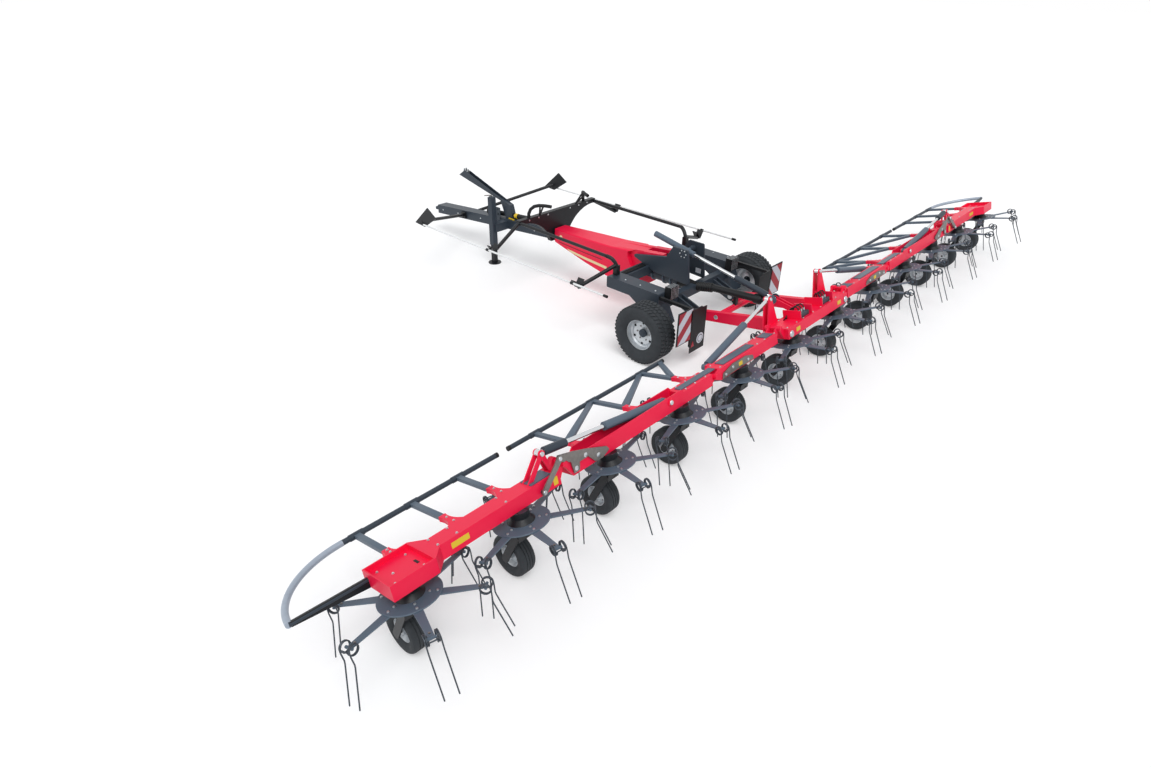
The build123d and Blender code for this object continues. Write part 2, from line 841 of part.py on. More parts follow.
with BuildPart() as mid_fittings:
    round_bar(boom_point(rail_ahead, rail_inner_y, rail_up), boom_point(rail_ahead, mid_out, rail_up), rail_r)
    for strut_y in mid_struts:
        strut(strut_y, strut_y, foot_end)
    for strut_y, rail_y in zip(mid_struts, (rail_inner_y + strut_width, *mid_struts)):
        strut(strut_y, rail_y, foot_end + strut_width / 2)
    lever_layer = beam_ahead - beam_half - lever_stand_off - plate_t / 2
    with BuildSketch(face_plane(lever_layer)) as lever:
        with BuildLine():
            Polyline(*lever_outline, close=True)
        make_face()
        with Locations((outer_y, hinge_up)):
            Circle(pin_head_r + running_gap, mode=Mode.SUBTRACT)
    extrude(lever.sketch, amount=plate_t / 2, both=True)
    for boss_y, boss_up in lever_bosses:
        boss_foot = boom_point(beam_ahead - beam_half, boss_y, boss_up)
        round_bar(boom_point(lever_layer, boss_y, boss_up), boss_foot, lever_boss_r)
    rotor_carrier(rotor_y(2), 1)
    rotor_carrier(rotor_y(3), 1)
write(mid_fittings.part, "mid_fittings_left")

with BuildPart() as inner_fittings:
    rotor_carrier(rotor_y(4), 1)
write(inner_fittings.part, "inner_fittings_left")

with BuildPart() as centre_fittings:
    rotor_carrier(rotor_y(5), 1)
    rotor_carrier(rotor_y(6), -1)
write(centre_fittings.part, "centre_fittings")


def barrel_tube(eye, aim, length, pin_dir):
    # A barrel with a bored eye at its closed end
    run = (aim - eye).normalized()
    start = eye + run * (eye_r + neck_length)
    base = start + run * barrel_base
    round_bar(eye + run * eye_pin_r, start, rod_r)
    round_bar(start, base, barrel_r)
    round_bar(base, eye + run * length, barrel_r, rod_r + running_gap)
    cross_pin(eye, eye_r, eye_width, pin_dir)
    with BuildSketch(Plane(origin=eye - pin_dir * eye_width, z_dir=pin_dir)) as bore:
        Circle(eye_pin_r + running_gap)
    extrude(bore.sketch, amount=2 * eye_width, mode=Mode.SUBTRACT)


def piston_rod(eye, aim, length, pin_dir, overlap):
    # The rod, from its eye back into the barrel that ends length away from aim
    run = (aim - eye).normalized()
    reach = (aim - eye).length - length + overlap
    round_bar(eye, eye + run * reach, rod_r)
    cross_pin(eye, eye_r, eye_width, pin_dir)


with BuildPart() as wing_cylinder:
    barrel_tube(wing_lug, wing_post, wing_barrel_length, boom_forward)
write(wing_cylinder.part, "wing_cylinder_left")
with BuildPart() as wing_rod:
    piston_rod(wing_post, wing_lug, wing_barrel_length, boom_forward, rod_overlap)
write(wing_rod.part, "wing_rod_left")
with BuildPart() as fold_cylinder:
    barrel_tube(fold_clevis, fold_eye, fold_barrel_length, boom_forward)
write(fold_cylinder.part, "fold_cylinder_left")
with BuildPart() as fold_rod:
    piston_rod(fold_eye, fold_clevis, fold_barrel_length, boom_forward, rod_overlap)
write(fold_rod.part, "fold_rod_left")

left_parts = {
    "wing_outer": wing_outer,
    "wing_mid": wing_mid,
    "wing_inner": wing_inner,
    "outer_fittings": outer_fittings,
    "mid_fittings": mid_fittings,
    "inner_fittings": inner_fittings,
    "wing_cylinder": wing_cylinder,
    "wing_rod": wing_rod,
    "fold_cylinder": fold_cylinder,
    "fold_rod": fold_rod,
}
for name, left in left_parts.items():
    with BuildPart() as right:
        mirror(left.part, about=Plane.XZ)
    write(right.part, f"{name}_right")

# Top link, a trunnion cylinder from the tower to the centre frame
top_front = ground_point(top_front_ahead, 0, top_front_z)
top_run = (top_rear - top_front).normalized()
with BuildPart() as top_barrel:
    cap = top_front - top_run * top_barrel_front
    round_bar(cap, top_front + top_run * top_barrel_rear, barrel_r, rod_r + running_gap)
    round_bar(cap, cap + top_run * top_cap, barrel_r)
    for hand in (-1, 1):
        round_bar(top_front + across * (hand * (rod_r + running_gap + top_cap)),
                  top_front + across * (hand * (barrel_r + trunnion_length)), lift_pin_r)
write(top_barrel.part, "top_link_barrel")
with BuildPart() as top_rod:
    piston_rod(top_rear, top_front, top_barrel_rear, across, top_rod_overlap)
    round_bar(top_front + top_run * top_sleeve_start, top_rear - top_run * top_sleeve_gap, top_sleeve_r)
write(top_rod.part, "top_link_rod")

# Lift arms with the drive shaft that they carry on a post
with BuildPart() as lift_arms:
    for hand in (-1, 1):
        tapered_link(
            ground_point(lift_front_ahead, hand * lift_half, lift_front_z),
            ground_point(lift_rear_ahead, hand * lift_half, lift_rear_z),
            lift_front_r,
            lift_rear_r,
            lift_arm_t,
            lift_pin_r + running_gap,
        )
    tie_share = (lift_front_ahead - tie_ahead) / (lift_front_ahead - lift_rear_ahead)
    tie = ground_point(tie_ahead, 0, lift_front_z + (lift_rear_z - lift_front_z) * tie_share)
    cross_pin(tie, tie_r, 2 * lift_half, across)
    shaft_front = ground_point(shaft_front_ahead, 0, shaft_front_z)
    shaft_rear = ground_point(shaft_rear_ahead, 0, shaft_rear_z)
    round_bar(shaft_front, shaft_rear, shaft_r)
    shaft_share = (shaft_front_ahead - tie_ahead) / (shaft_front_ahead - shaft_rear_ahead)
    post_top = ground_point(tie_ahead, 0, shaft_front_z + (shaft_rear_z - shaft_front_z) * shaft_share)
    flat_bar(tie, post_top, shaft_post_width, shaft_r, across)
write(lift_arms.part, "lift_arms")

# Road wheels
with BuildPart() as main_tyre:
    ring_wheel(
        tyre_sides,
        (
            (-tyre_bead_w / 2, rim_r + tyre_bead_w / 4),
            (-tyre_w / 2, tyre_shoulder_r),
            (-tyre_tread_w / 2, tyre_r),
            (tyre_tread_w / 2, tyre_r),
            (tyre_w / 2, tyre_shoulder_r),
            (tyre_bead_w / 2, rim_r + tyre_bead_w / 4),
        ),
    )
    round_cut(-tyre_w, tyre_w, rim_r)
with BuildPart() as main_rim:
    with BuildSketch(Plane.XY):
        with BuildLine():
            Polyline(
                (road_axle_r + running_gap, -rim_hub_length / 2),
                (rim_hub_r, -rim_hub_length / 2),
                (rim_hub_r, -rim_t / 2),
                (rim_r - rim_dish_depth, rim_t),
                (rim_r - rim_t, rim_t),
                (rim_r - rim_t, -tyre_bead_w / 2),
                (rim_r, -tyre_bead_w / 2),
                (rim_r, tyre_bead_w / 2),
                (rim_r - rim_t, tyre_bead_w / 2),
                (rim_r - rim_t, 2 * rim_t),
                (rim_r - rim_dish_depth, 2 * rim_t),
                (rim_hub_r, rim_t / 2),
                (rim_hub_r, rim_hub_length / 2),
                (road_axle_r + running_gap, rim_hub_length / 2),
                close=True,
            )
        make_face()
    revolve(axis=Axis.Y)
for name, hand in (("left", 1), ("right", -1)):
    for wheel, label in ((main_tyre, "main_tyre"), (main_rim, "main_rim")):
        with BuildPart() as placed:
            hub_centre = ground_point(axle_ahead, hand * half_track, tyre_r)
            with Locations(Location(hub_centre, (0, 0, 90 - hand * 90))):
                add(wheel.part)
        write(placed.part, f"{label}_{name}")


def hood_section(ahead, low, high, half):
    # One cross section of the red main beam
    middle = ground_point(ahead, 0, (low + high) / 2)
    with BuildSketch(Plane(origin=middle, x_dir=(0, 1, 0), z_dir=(1, 0, 0))) as section:
        RectangleRounded(2 * half, high - low, hood_edge_r)
    return section.sketch


# Hood, the red main beam, notched beside the tower's fins, with a slotted tail over the cross tube
fin_outline = (
    (fin_tip, fin_tip_z),
    (fin_neck, fin_neck_z),
    (fin_top_front, fin_top_z),
    (fin_top_rear, fin_top_z),
    (fin_rear, fin_low_z),
    (fin_low_front, fin_low_front_z),
)
with BuildPart() as hood:
    loft(
        [
            hood_section(hood_front, hood_front_low, hood_front_high, hood_front_half),
            hood_section(hood_mid, hood_mid_low, hood_mid_high, hood_mid_half),
            hood_section(hood_rear, hood_rear_low, hood_rear_high, hood_rear_half),
            hood_section(cross_tube_front, hood_end_low, hood_end_high, hood_rear_half),
        ],
        ruled=True,
    )
    tail_y = (tail_slot_half + tail_half) / 2
    for hand in (-1, 1):
        side_plate(
            (
                (hood_rear, hood_rear_high),
                (tail_end, tail_high),
                (tail_end, tail_high - tail_t),
                (cross_tube_front, hood_end_high - tail_t),
                (hood_rear, hood_rear_high - tail_t),
            ),
            hand * tail_y,
            tail_half - tail_slot_half,
        )
        notch_y = hand * (notch_core_half + tower_half) / 2
        side_plate(
            (
                (fin_tip + 2 * notch_gap, fin_tip_z + notch_gap),
                (cross_tube_front - notch_gap, hood_end_high + 2 * notch_gap),
                (cross_tube_front - notch_gap, hood_end_low - notch_gap),
                (fin_tip, fin_low_front_z),
                (fin_tip + 2 * notch_gap, fin_tip_z - 2 * notch_gap),
            ),
            notch_y,
            tower_half - notch_core_half + 2 * hood_edge_r,
            notch_corner_r,
            mode=Mode.SUBTRACT,
        )
write(hood.part, "hood")

# One fin of the tower, its outer edge rounded
with BuildPart() as fin:
    side_plate(fin_outline, tower_half - fin_t / 2, fin_t, fin_corner_r)
    fillet(fin.faces().sort_by(Axis.Y)[-1].edges(), fin_edge_r)

# Tower with its fins, the wheel legs and the pivots of the lift arms
with BuildPart() as tower:
    add(fin.part)
    mirror(fin.part, about=Plane.XZ)
    for hand in (-1, 1):
        round_bar(top_front + across * (hand * (barrel_r + trunnion_length + running_gap)),
                  top_front + across * (hand * (tower_half - fin_t / 2)), trunnion_bush_r)
        leg_y = hand * (leg_in + leg_out) / 2
        side_plate(
            (
                (cross_tube_front, leg_high),
                (leg_rear, leg_high),
                (leg_rear, leg_low),
                (axle_ahead - hub_boss, tyre_r),
                (axle_ahead, tyre_r - hub_boss),
                (axle_ahead + hub_boss, tyre_r),
                (leg_knee, leg_low),
                (cross_tube_front, leg_low),
            ),
            leg_y,
            leg_out - leg_in,
            leg_corner_r,
        )
        round_bar(ground_point(axle_ahead, leg_y, tyre_r),
                  ground_point(axle_ahead, hand * (half_track + rim_hub_length / 2), tyre_r), road_axle_r)
        for edge in (-1, 1):
            pivot_y = hand * lift_half + edge * (lift_arm_t / 2 + ear_gap + ear_t / 2)
            pivot = ground_point(lift_front_ahead, pivot_y, lift_front_z)
            cross_pin(pivot, lift_lug_r, ear_t, across)
            flat_bar(ground_point(rear_tube_front, pivot_y, lift_lug_root_z), pivot, 2 * lift_lug_r, ear_t,
                     Vector(1, 0, 0))
        cross_pin(ground_point(lift_front_ahead, hand * lift_half, lift_front_z), lift_pin_r,
                  lift_arm_t + 2 * ear_t, across)
    block(ground_point(cross_tube_rear, -leg_out, cross_tube_low),
          ground_point(cross_tube_front, leg_out, cross_tube_high))
    block(ground_point(rear_tube_rear, -leg_out, rear_tube_low),
          ground_point(rear_tube_front, leg_out, rear_tube_high))
    gearbox = ground_point(gearbox_rear, 0, gearbox_z)
    round_bar(gearbox, ground_point(cross_tube_front, 0, gearbox_z), gearbox_r)
    round_bar(gearbox, gearbox + Vector(gearbox_flange_t, 0, 0), gearbox_flange_r)
    round_bar(ground_point(rear_tube_rear, 0, gearbox_z), gearbox, output_r)
write(tower.part, "tower")

# Ribbed rear lamps on the legs, warning boards and sign panels on bars behind the wheels
cross_section = Plane(origin=ground_point(board_ahead, 0, 0), x_dir=(0, 1, 0), z_dir=(1, 0, 0))
with BuildPart() as rear_lights:
    for hand in (-1, 1):
        block(ground_point(leg_rear - lamp_depth, hand * lamp_y - lamp_half, lamp_low),
              ground_point(leg_rear, hand * lamp_y + lamp_half, lamp_high))
        for rib in range(lamp_rib_count):
            rib_y = hand * lamp_y + (rib - (lamp_rib_count - 1) / 2) * lamp_rib_pitch
            block(ground_point(leg_rear - lamp_depth - lamp_rib_depth, rib_y - lamp_rib_pitch / 4, lamp_low),
                  ground_point(leg_rear - lamp_depth, rib_y + lamp_rib_pitch / 4, lamp_high))
        plate(
            cross_section,
            (
                (hand * board_in, board_low + board_tilt_cut),
                (hand * board_in, board_high),
                (hand * (board_out - board_tilt_cut), board_high),
                (hand * board_out, board_high - board_tilt_cut),
                (hand * board_out, board_low),
                (hand * (board_in + board_tilt_cut), board_low),
            ),
            board_t,
        )
        plate(
            cross_section.offset(-(board_t + panel_t) / 2),
            (
                (hand * panel_in, panel_low),
                (hand * panel_in, board_high),
                (hand * panel_out, board_high),
                (hand * panel_out, panel_low),
            ),
            panel_t,
            panel_corner_r,
        )
        bar_y = hand * board_bar_y
        block(ground_point(board_ahead, bar_y - board_bar_size / 2, board_bar_z - board_bar_size / 2),
              ground_point(leg_rear, bar_y + board_bar_size / 2, board_bar_z + board_bar_size / 2))
write(rear_lights.part, "rear_lights")

# Drawbar with the hitch ring, the drive input, the hose stand and the jack's sleeve
with BuildPart() as drawbar:
    side_plate(
        (
            (hood_front, tongue_rear_z - tongue_height / 2),
            (hood_front, tongue_rear_z + tongue_height / 2),
            (tongue_front, tongue_front_z + tongue_height / 2),
            (tongue_front, tongue_front_z - tongue_height / 2),
        ),
        0,
        2 * tongue_half,
    )
    ring = ground_point(hitch_ahead - hitch_ring_r, 0, hitch_z)
    shank_root = ground_point(tongue_front - shank_overlap, 0, hitch_z)
    flat_bar(shank_root, ring, 2 * shank_half, hitch_ring_t, across)
    cross_pin(ring, hitch_ring_r, hitch_ring_t, upward)
    with BuildSketch(Plane(origin=ring - upward * (hitch_ring_t / 2))) as eye_bore:
        Circle(eye_bore_r)
    extrude(eye_bore.sketch, amount=hitch_ring_t, mode=Mode.SUBTRACT)
    block(ground_point(pedestal_rear, -pedestal_half, tongue_z(pedestal_rear)),
          ground_point(pedestal_front, pedestal_half, pto_z + pedestal_rise))
    pto_end = ground_point(pedestal_front + pto_length, 0, pto_z)
    round_bar(ground_point(pedestal_rear, 0, pto_z), pto_end, pto_r)
    side_plate(
        (
            (stand_foot_rear, tongue_z(stand_foot_rear)),
            (stand_knee_rear, stand_knee_rear_z),
            (stand_tip_rear, stand_tip_rear_z),
            (stand_tip_front, stand_tip_front_z),
            (stand_knee_front, stand_knee_front_z),
            (stand_foot_front, tongue_z(stand_foot_front)),
        ),
        0,
        stand_width,
    )
    side_plate(
        (
            (stand_knee_rear, stand_knee_rear_z),
            (stand_tip_rear, stand_tip_rear_z),
            (stand_tip_front, stand_tip_front_z + stand_wall),
            (stand_knee_front, stand_knee_front_z + stand_wall),
        ),
        0,
        stand_width - 2 * stand_wall,
        mode=Mode.SUBTRACT,
    )
    peg_z = tongue_z(peg_plate_rear)
    side_plate(
        (
            (peg_plate_rear, peg_z - tongue_half),
            (peg_plate_rear, peg_plate_high),
            (peg_plate_front, peg_plate_high),
            (peg_plate_front, peg_z - tongue_half),
        ),
        tongue_half + peg_plate_t / 2,
        peg_plate_t,
    )
    peg_middle = ground_point((peg_plate_rear + peg_plate_front) / 2, 0, peg_plate_high - peg_pitch)
    with BuildSketch(Plane.XZ.offset(-tongue_half)) as pegs:
        with Locations((peg_middle.X, peg_middle.Z)):
            with GridLocations(peg_pitch, peg_pitch, 3, 2):
                Circle(peg_hole_r)
    extrude(pegs.sketch, amount=-2 * peg_plate_t, mode=Mode.SUBTRACT)
    sleeve_half = jack_size / 2 + jack_wall
    block(ground_point(jack_ahead - jack_bracket_half, 0, tongue_z(jack_ahead) - jack_bracket_half),
          ground_point(jack_ahead + jack_bracket_half, jack_y, tongue_z(jack_ahead) + jack_bracket_half))
    block(ground_point(jack_ahead - sleeve_half, jack_y - sleeve_half, jack_sleeve_low),
          ground_point(jack_ahead + sleeve_half, jack_y + sleeve_half, jack_sleeve_high))
    hole_half = jack_size / 2 + running_gap
    block(ground_point(jack_ahead - hole_half, jack_y - hole_half, 0),
          ground_point(jack_ahead + hole_half, jack_y + hole_half, jack_top + jack_lift), mode=Mode.SUBTRACT)
write(drawbar.part, "drawbar")

# Parking jack
with BuildPart() as jack:
    block(ground_point(jack_ahead - jack_size / 2, jack_y - jack_size / 2, 0),
          ground_point(jack_ahead + jack_size / 2, jack_y + jack_size / 2, jack_top))
    round_bar(ground_point(jack_ahead, jack_y, 0), ground_point(jack_ahead, jack_y, jack_foot_t), jack_foot_r)
write(jack.part, "jack")


def rack_fork(seat, hand):
    # A rack's fork, two prongs with a clip for the white side rod
    for lean_side in (-1, 1):
        tip = seat + Vector(0, lean_side * prong_spread, prong_rise)
        flat_bar(seat, tip, prong_width, prong_t, Vector(1, 0, 0))
    held = Vector(seat.X, hand * side_rod_y, side_rod_z)
    prong_share = (side_rod_z - seat.Z) / prong_rise
    stub_start = Vector(seat.X, seat.Y + hand * prong_spread * prong_share, side_rod_z)
    round_bar(stub_start, held - across * (hand * (side_rod_r + clip_reach)), clip_stub_r)
    clip_run = Vector(clip_length / 2, 0, 0)
    round_bar(held - clip_run, held + clip_run, clip_r, side_rod_r + running_gap)


# Yoke on the tongue, its side tubes and the racks that hold the folded wings
with BuildPart() as cross_beam:
    saddle_z = tongue_z(yoke_rear) + tongue_height / 2
    yoke_middle = (yoke_rear + yoke_front) / 2
    yoke_plane = Plane(origin=ground_point(yoke_middle, 0, 0), x_dir=(0, 1, 0), z_dir=(1, 0, 0))
    with BuildSketch(yoke_plane) as yoke:
        with BuildLine() as half_yoke:
            Polyline((0, yoke_high), (yoke_half, yoke_high), (yoke_half, yoke_end_low))
            yoke_bend = (yoke_bend_y, yoke_bend_z)
            ThreePointArc((yoke_half, yoke_end_low), yoke_bend, (yoke_foot_half, yoke_foot_low))
            Polyline(
                (yoke_foot_half, yoke_foot_low),
                (tongue_half, yoke_foot_low),
                (tongue_half, saddle_z),
                (0, saddle_z),
            )
            mirror(half_yoke.line, about=Plane.YZ)
        make_face()
    extrude(yoke.sketch, amount=(yoke_front - yoke_rear) / 2, both=True)
    for hand in (-1, 1):
        tube_end = ground_point(tube_rear_ahead, hand * tube_rear_y, tube_rear_z)
        yoke_end = ground_point(yoke_middle, hand * tube_y, tube_z)
        round_bar(yoke_end, tube_end, tube_r)
        stay = ground_point(stay_ahead, hand * stay_y, leg_high)
        stay_top = Vector(stay.X, stay.Y, stay_high)
        flat_bar(stay, stay_top, stay_size, stay_size, Vector(1, 0, 0))
        stay_root = stay_top - upward * tube_r
        stay_bend = (stay_root + tube_end) * 0.5 + upward * stay_bow
        with BuildLine() as bent:
            ThreePointArc(stay_root, stay_bend, tube_end)
        with BuildSketch(Plane(origin=stay_root, z_dir=bent.line % 0)) as bent_section:
            Circle(arm_tube_r)
        sweep(bent_section.sketch, path=bent.line)
        mid_seat = ground_point(mid_fork_ahead, hand * fork_y, mid_fork_z)
        rear_seat = ground_point(rear_fork_ahead, hand * fork_y, rear_fork_z)
        round_bar(yoke_end, mid_seat, arm_tube_r)
        round_bar(bent.line @ rear_arm_share, rear_seat, arm_tube_r)
        rack_fork(mid_seat, hand)
        rack_fork(rear_seat, hand)
        arm_z = tongue_z(front_arm_ahead)
        pad_in = min(hand * tongue_half, hand * (tongue_half + arm_pad_t))
        block(ground_point(front_arm_ahead - arm_pad_half, pad_in, arm_z - arm_pad_half),
              ground_point(front_arm_ahead + arm_pad_half, pad_in + arm_pad_t, arm_z + arm_pad_half))
        arm_root_point = ground_point(front_arm_ahead, hand * (tongue_half + arm_tube_r), arm_z)
        arm_tip = ground_point(front_arm_end, hand * rack_plate_y, front_arm_end_z)
        round_bar(arm_root_point, arm_tip, arm_tube_r)
        side_plate(rack_plate_outline, hand * rack_plate_y, rack_plate_t)
write(cross_beam.part, "cross_beam")

# White rods along both sides
with BuildPart() as side_rods:
    for hand in (-1, 1):
        round_bar(ground_point(side_rod_front, hand * side_rod_y, side_rod_z),
                  ground_point(side_rod_rear, hand * side_rod_y, side_rod_z), side_rod_r)
write(side_rods.part, "side_rods")
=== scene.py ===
import json
import math

import bpy
from mathutils import Matrix, Vector


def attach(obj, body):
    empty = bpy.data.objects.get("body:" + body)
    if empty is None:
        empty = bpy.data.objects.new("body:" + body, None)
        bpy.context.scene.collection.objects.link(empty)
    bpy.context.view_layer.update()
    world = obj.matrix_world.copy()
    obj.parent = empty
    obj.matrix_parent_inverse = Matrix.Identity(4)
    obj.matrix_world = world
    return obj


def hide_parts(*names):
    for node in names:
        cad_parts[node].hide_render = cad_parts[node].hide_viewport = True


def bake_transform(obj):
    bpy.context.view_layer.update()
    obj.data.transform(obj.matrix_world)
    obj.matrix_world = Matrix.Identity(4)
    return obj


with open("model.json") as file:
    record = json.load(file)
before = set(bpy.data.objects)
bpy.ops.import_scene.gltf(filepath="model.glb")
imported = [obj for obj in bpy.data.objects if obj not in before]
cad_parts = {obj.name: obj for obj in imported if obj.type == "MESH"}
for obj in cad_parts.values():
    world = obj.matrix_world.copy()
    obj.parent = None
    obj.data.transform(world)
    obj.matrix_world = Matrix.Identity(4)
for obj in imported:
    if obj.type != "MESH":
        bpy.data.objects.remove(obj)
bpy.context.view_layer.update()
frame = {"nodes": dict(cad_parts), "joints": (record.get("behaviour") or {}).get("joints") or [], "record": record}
nodes = frame["nodes"]
joints = {joint["name"]: joint for joint in frame["joints"]}
sides = {"left": 1, "right": -1}
rotorCount = 12
print("frame loaded")

# The boom leans, so its pieces are placed by ahead, across and up along its own axes
forward, across, upright = Vector((1, 0, 0)), Vector((0, 1, 0)), Vector((0, 0, 1))
backward = Vector((-1, 0, 0))
boomUp = Vector(joints["rotor_01_spin"]["axis"])
boomAhead = across.cross(boomUp)
boomBack = -boomAhead
discLine = Vector(joints["rotor_01_spin"]["pos_m"])
wheelLine = joints["rotor_wheel_01_spin"]["pos_m"][0]


def boomSpot(ahead, y, up):
    return Vector((discLine.x, y, discLine.z)) + boomAhead * ahead + boomUp * up


def groundSpot(ahead, y, z):
    return Vector((wheelLine + ahead, y, z))


def axesAt(spot, xAxis, zAxis):
    # Placement whose z runs along zAxis and whose x leans towards xAxis
    z = Vector(zAxis).normalized()
    y = z.cross(Vector(xAxis)).normalized()
    x = y.cross(z)
    placed = Matrix((x, y, z)).transposed().to_4x4()
    placed.translation = spot
    return placed


def fromHex(text):
    # sRGB hex to the linear colour that Blender's sockets take
    shares = [int(text[i : i + 2], 16) / 255 for i in (0, 2, 4)]
    return [c / 12.92 if c <= 0.04045 else ((c + 0.055) / 1.055) ** 2.4 for c in shares] + [1.0]


def addNode(tree, kind, values=None, links=None, **settings):
    made = tree.nodes.new(kind)
    for name, value in settings.items():
        setattr(made, name, value)
    for name, value in (values or {}).items():
        made.inputs[name].default_value = value
    for name, source in (links or {}).items():
        tree.links.new(source, made.inputs[name])
    return made


def newMaterial(name, look):
    # A surface with an even colour, and a bump and wear whose grain is given in millimetres
    material = bpy.data.materials.new(name)
    material.use_nodes = True
    tree = material.node_tree
    shader = tree.nodes["Principled BSDF"]
    shader.inputs["Base Color"].default_value = fromHex(look["colour"])
    shader.inputs["Metallic"].default_value = look.get("metallic", 0.0)
    shader.inputs["Roughness"].default_value = look["roughness"]
    if "ior" in look:
        shader.inputs["IOR"].default_value = look["ior"]
    place = addNode(tree, "ShaderNodeTexCoord").outputs["Object"]
    if "grain" in look:
        grain = addNode(tree, "ShaderNodeTexNoise", {"Scale": 1000 / look["grain"], "Detail": 3.0},
                        {"Vector": place})
        bump = addNode(tree, "ShaderNodeBump", {"Strength": look["bump"], "Distance": look["grain"] / 4000},
                       {"Height": grain.outputs["Fac"]})
        tree.links.new(bump.outputs["Normal"], shader.inputs["Normal"])
    if "wear" in look:
        patches = addNode(tree, "ShaderNodeTexNoise", {"Scale": 1000 / look["wear"], "Detail": 6.0},
                          {"Vector": place})
        worn = addNode(tree, "ShaderNodeMix", {"A": fromHex(look["colour"]), "B": fromHex(look["worn"])},
                       {"Factor": patches.outputs["Fac"]}, data_type="RGBA")
        tree.links.new(worn.outputs["Result"], shader.inputs["Base Color"])
    return material


# Grains of paint, plastic and rubber are drawn coarser than they are, as finer ones wouldn't show
# Powder coat on welded steel: baked, so it has a faint orange peel and a soft broad shine
crimsonCoat = newMaterial("crimsonPowderCoat", {
    "colour": "ee1543", "roughness": 0.36, "ior": 1.34, "grain": 6, "bump": 0.05})
slateCoat = newMaterial("slatePowderCoat", {
    "colour": "546270", "roughness": 0.4, "ior": 1.36, "grain": 6, "bump": 0.05})
graphiteCoat = newMaterial("graphitePowderCoat", {
    "colour": "323b45", "roughness": 0.42, "ior": 1.36, "grain": 6, "bump": 0.05})
blackCoat = newMaterial("blackPowderCoat", {
    "colour": "15181c", "roughness": 0.4, "ior": 1.36, "grain": 6, "bump": 0.05})
# Galvanised tube under clear lacquer: pale blue grey with faint crystal patches
greyTube = newMaterial("lacqueredTube", {
    "colour": "a7b1be", "roughness": 0.36, "metallic": 0.25, "wear": 40, "worn": "97a2b0"})
# Oil hardened spring wire: dark, with a dull metal shine
springWire = newMaterial("springWire", {
    "colour": "3d434b", "roughness": 0.4, "metallic": 0.5, "grain": 4, "bump": 0.08})
# Laser cut steel plate, zinc plated: warm grey with a brushed shine
bareSteel = newMaterial("zincPlate", {
    "colour": "8e8a86", "roughness": 0.36, "metallic": 0.85, "wear": 30, "worn": "6d6967"})
# Hard chrome on ground rod: a sharp mirror
hardChrome = newMaterial("hardChrome", {"colour": "d5d8db", "roughness": 0.1, "metallic": 1.0})
# Vulcanised rubber with carbon black: matt, with a fine moulded grain
tyreRubber = newMaterial("tyreRubber", {
    "colour": "25282b", "roughness": 0.72, "ior": 1.36, "grain": 8, "bump": 0.2,
    "wear": 90, "worn": "3b3f43"})
# Silver lacquer on pressed steel: bright, with a soft metal flake
silverLacquer = newMaterial("silverLacquer", {
    "colour": "c3c8cc", "roughness": 0.32, "metallic": 0.5, "grain": 5, "bump": 0.04})
# White lacquer on drawn tube: smooth, with an even gloss
whiteLacquer = newMaterial("whiteLacquer", {"colour": "e4e6e6", "roughness": 0.35, "ior": 1.5})
# Moulded polypropylene: black and slightly dull
blackPlastic = newMaterial("blackPolypropylene", {
    "colour": "17191c", "roughness": 0.5, "ior": 1.36, "grain": 3, "bump": 0.1})
# Extruded hose with a fabric braid under its skin: black, with a low even sheen
hoseRubber = newMaterial("hoseRubber", {
    "colour": "131518", "roughness": 0.55, "ior": 1.36, "grain": 2, "bump": 0.1})
# Zinc plated bolts: small bright heads that catch the light
brightZinc = newMaterial("brightZinc", {"colour": "c6cacd", "roughness": 0.28, "metallic": 0.9})
# Cut vinyl film: flat colour with a soft gloss, thin enough to follow the metal under it
creamFilm = newMaterial("creamVinyl", {"colour": "ead6a4", "roughness": 0.4, "ior": 1.5})
yellowFilm = newMaterial("yellowVinyl", {"colour": "e0bd24", "roughness": 0.4, "ior": 1.5})
# Retroreflective sheet with glass beads: pale and grainy where it is white, deep where it is red
whiteSheet = newMaterial("whiteBeadSheet", {
    "colour": "cdd3dc", "roughness": 0.45, "ior": 1.5, "grain": 3, "bump": 0.05})
redSheet = newMaterial("redBeadSheet", {
    "colour": "a3162c", "roughness": 0.45, "ior": 1.5, "grain": 3, "bump": 0.05})
print("materials made")

slotFinish = {
    "red_paint": crimsonCoat,
    "dark_paint": graphiteCoat,
    "black_paint": blackCoat,
    "spring_steel": springWire,
    "rod_steel": hardChrome,
    "tyre_rubber": tyreRubber,
    "rim_silver": silverLacquer,
    "lamp_plastic": blackPlastic,
    "white_tube": whiteLacquer,
}
for subpart in frame["record"]["subparts"]:
    mesh = nodes[subpart["node"]].data
    mesh.materials.clear()
    mesh.materials.append(slotFinish[subpart["material_slot"]])
print("CAD nodes painted")


def newShape():
    return {"verts": [], "faces": [], "finish": [], "finishes": []}


def addFaces(shape, verts, faces, finish, placed=Matrix()):
    start = len(shape["verts"])
    if finish not in shape["finishes"]:
        shape["finishes"].append(finish)
    shape["verts"] += [placed @ Vector(v) for v in verts]
    shape["faces"] += [[start + i for i in face] for face in faces]
    shape["finish"] += [shape["finishes"].index(finish)] * len(faces)


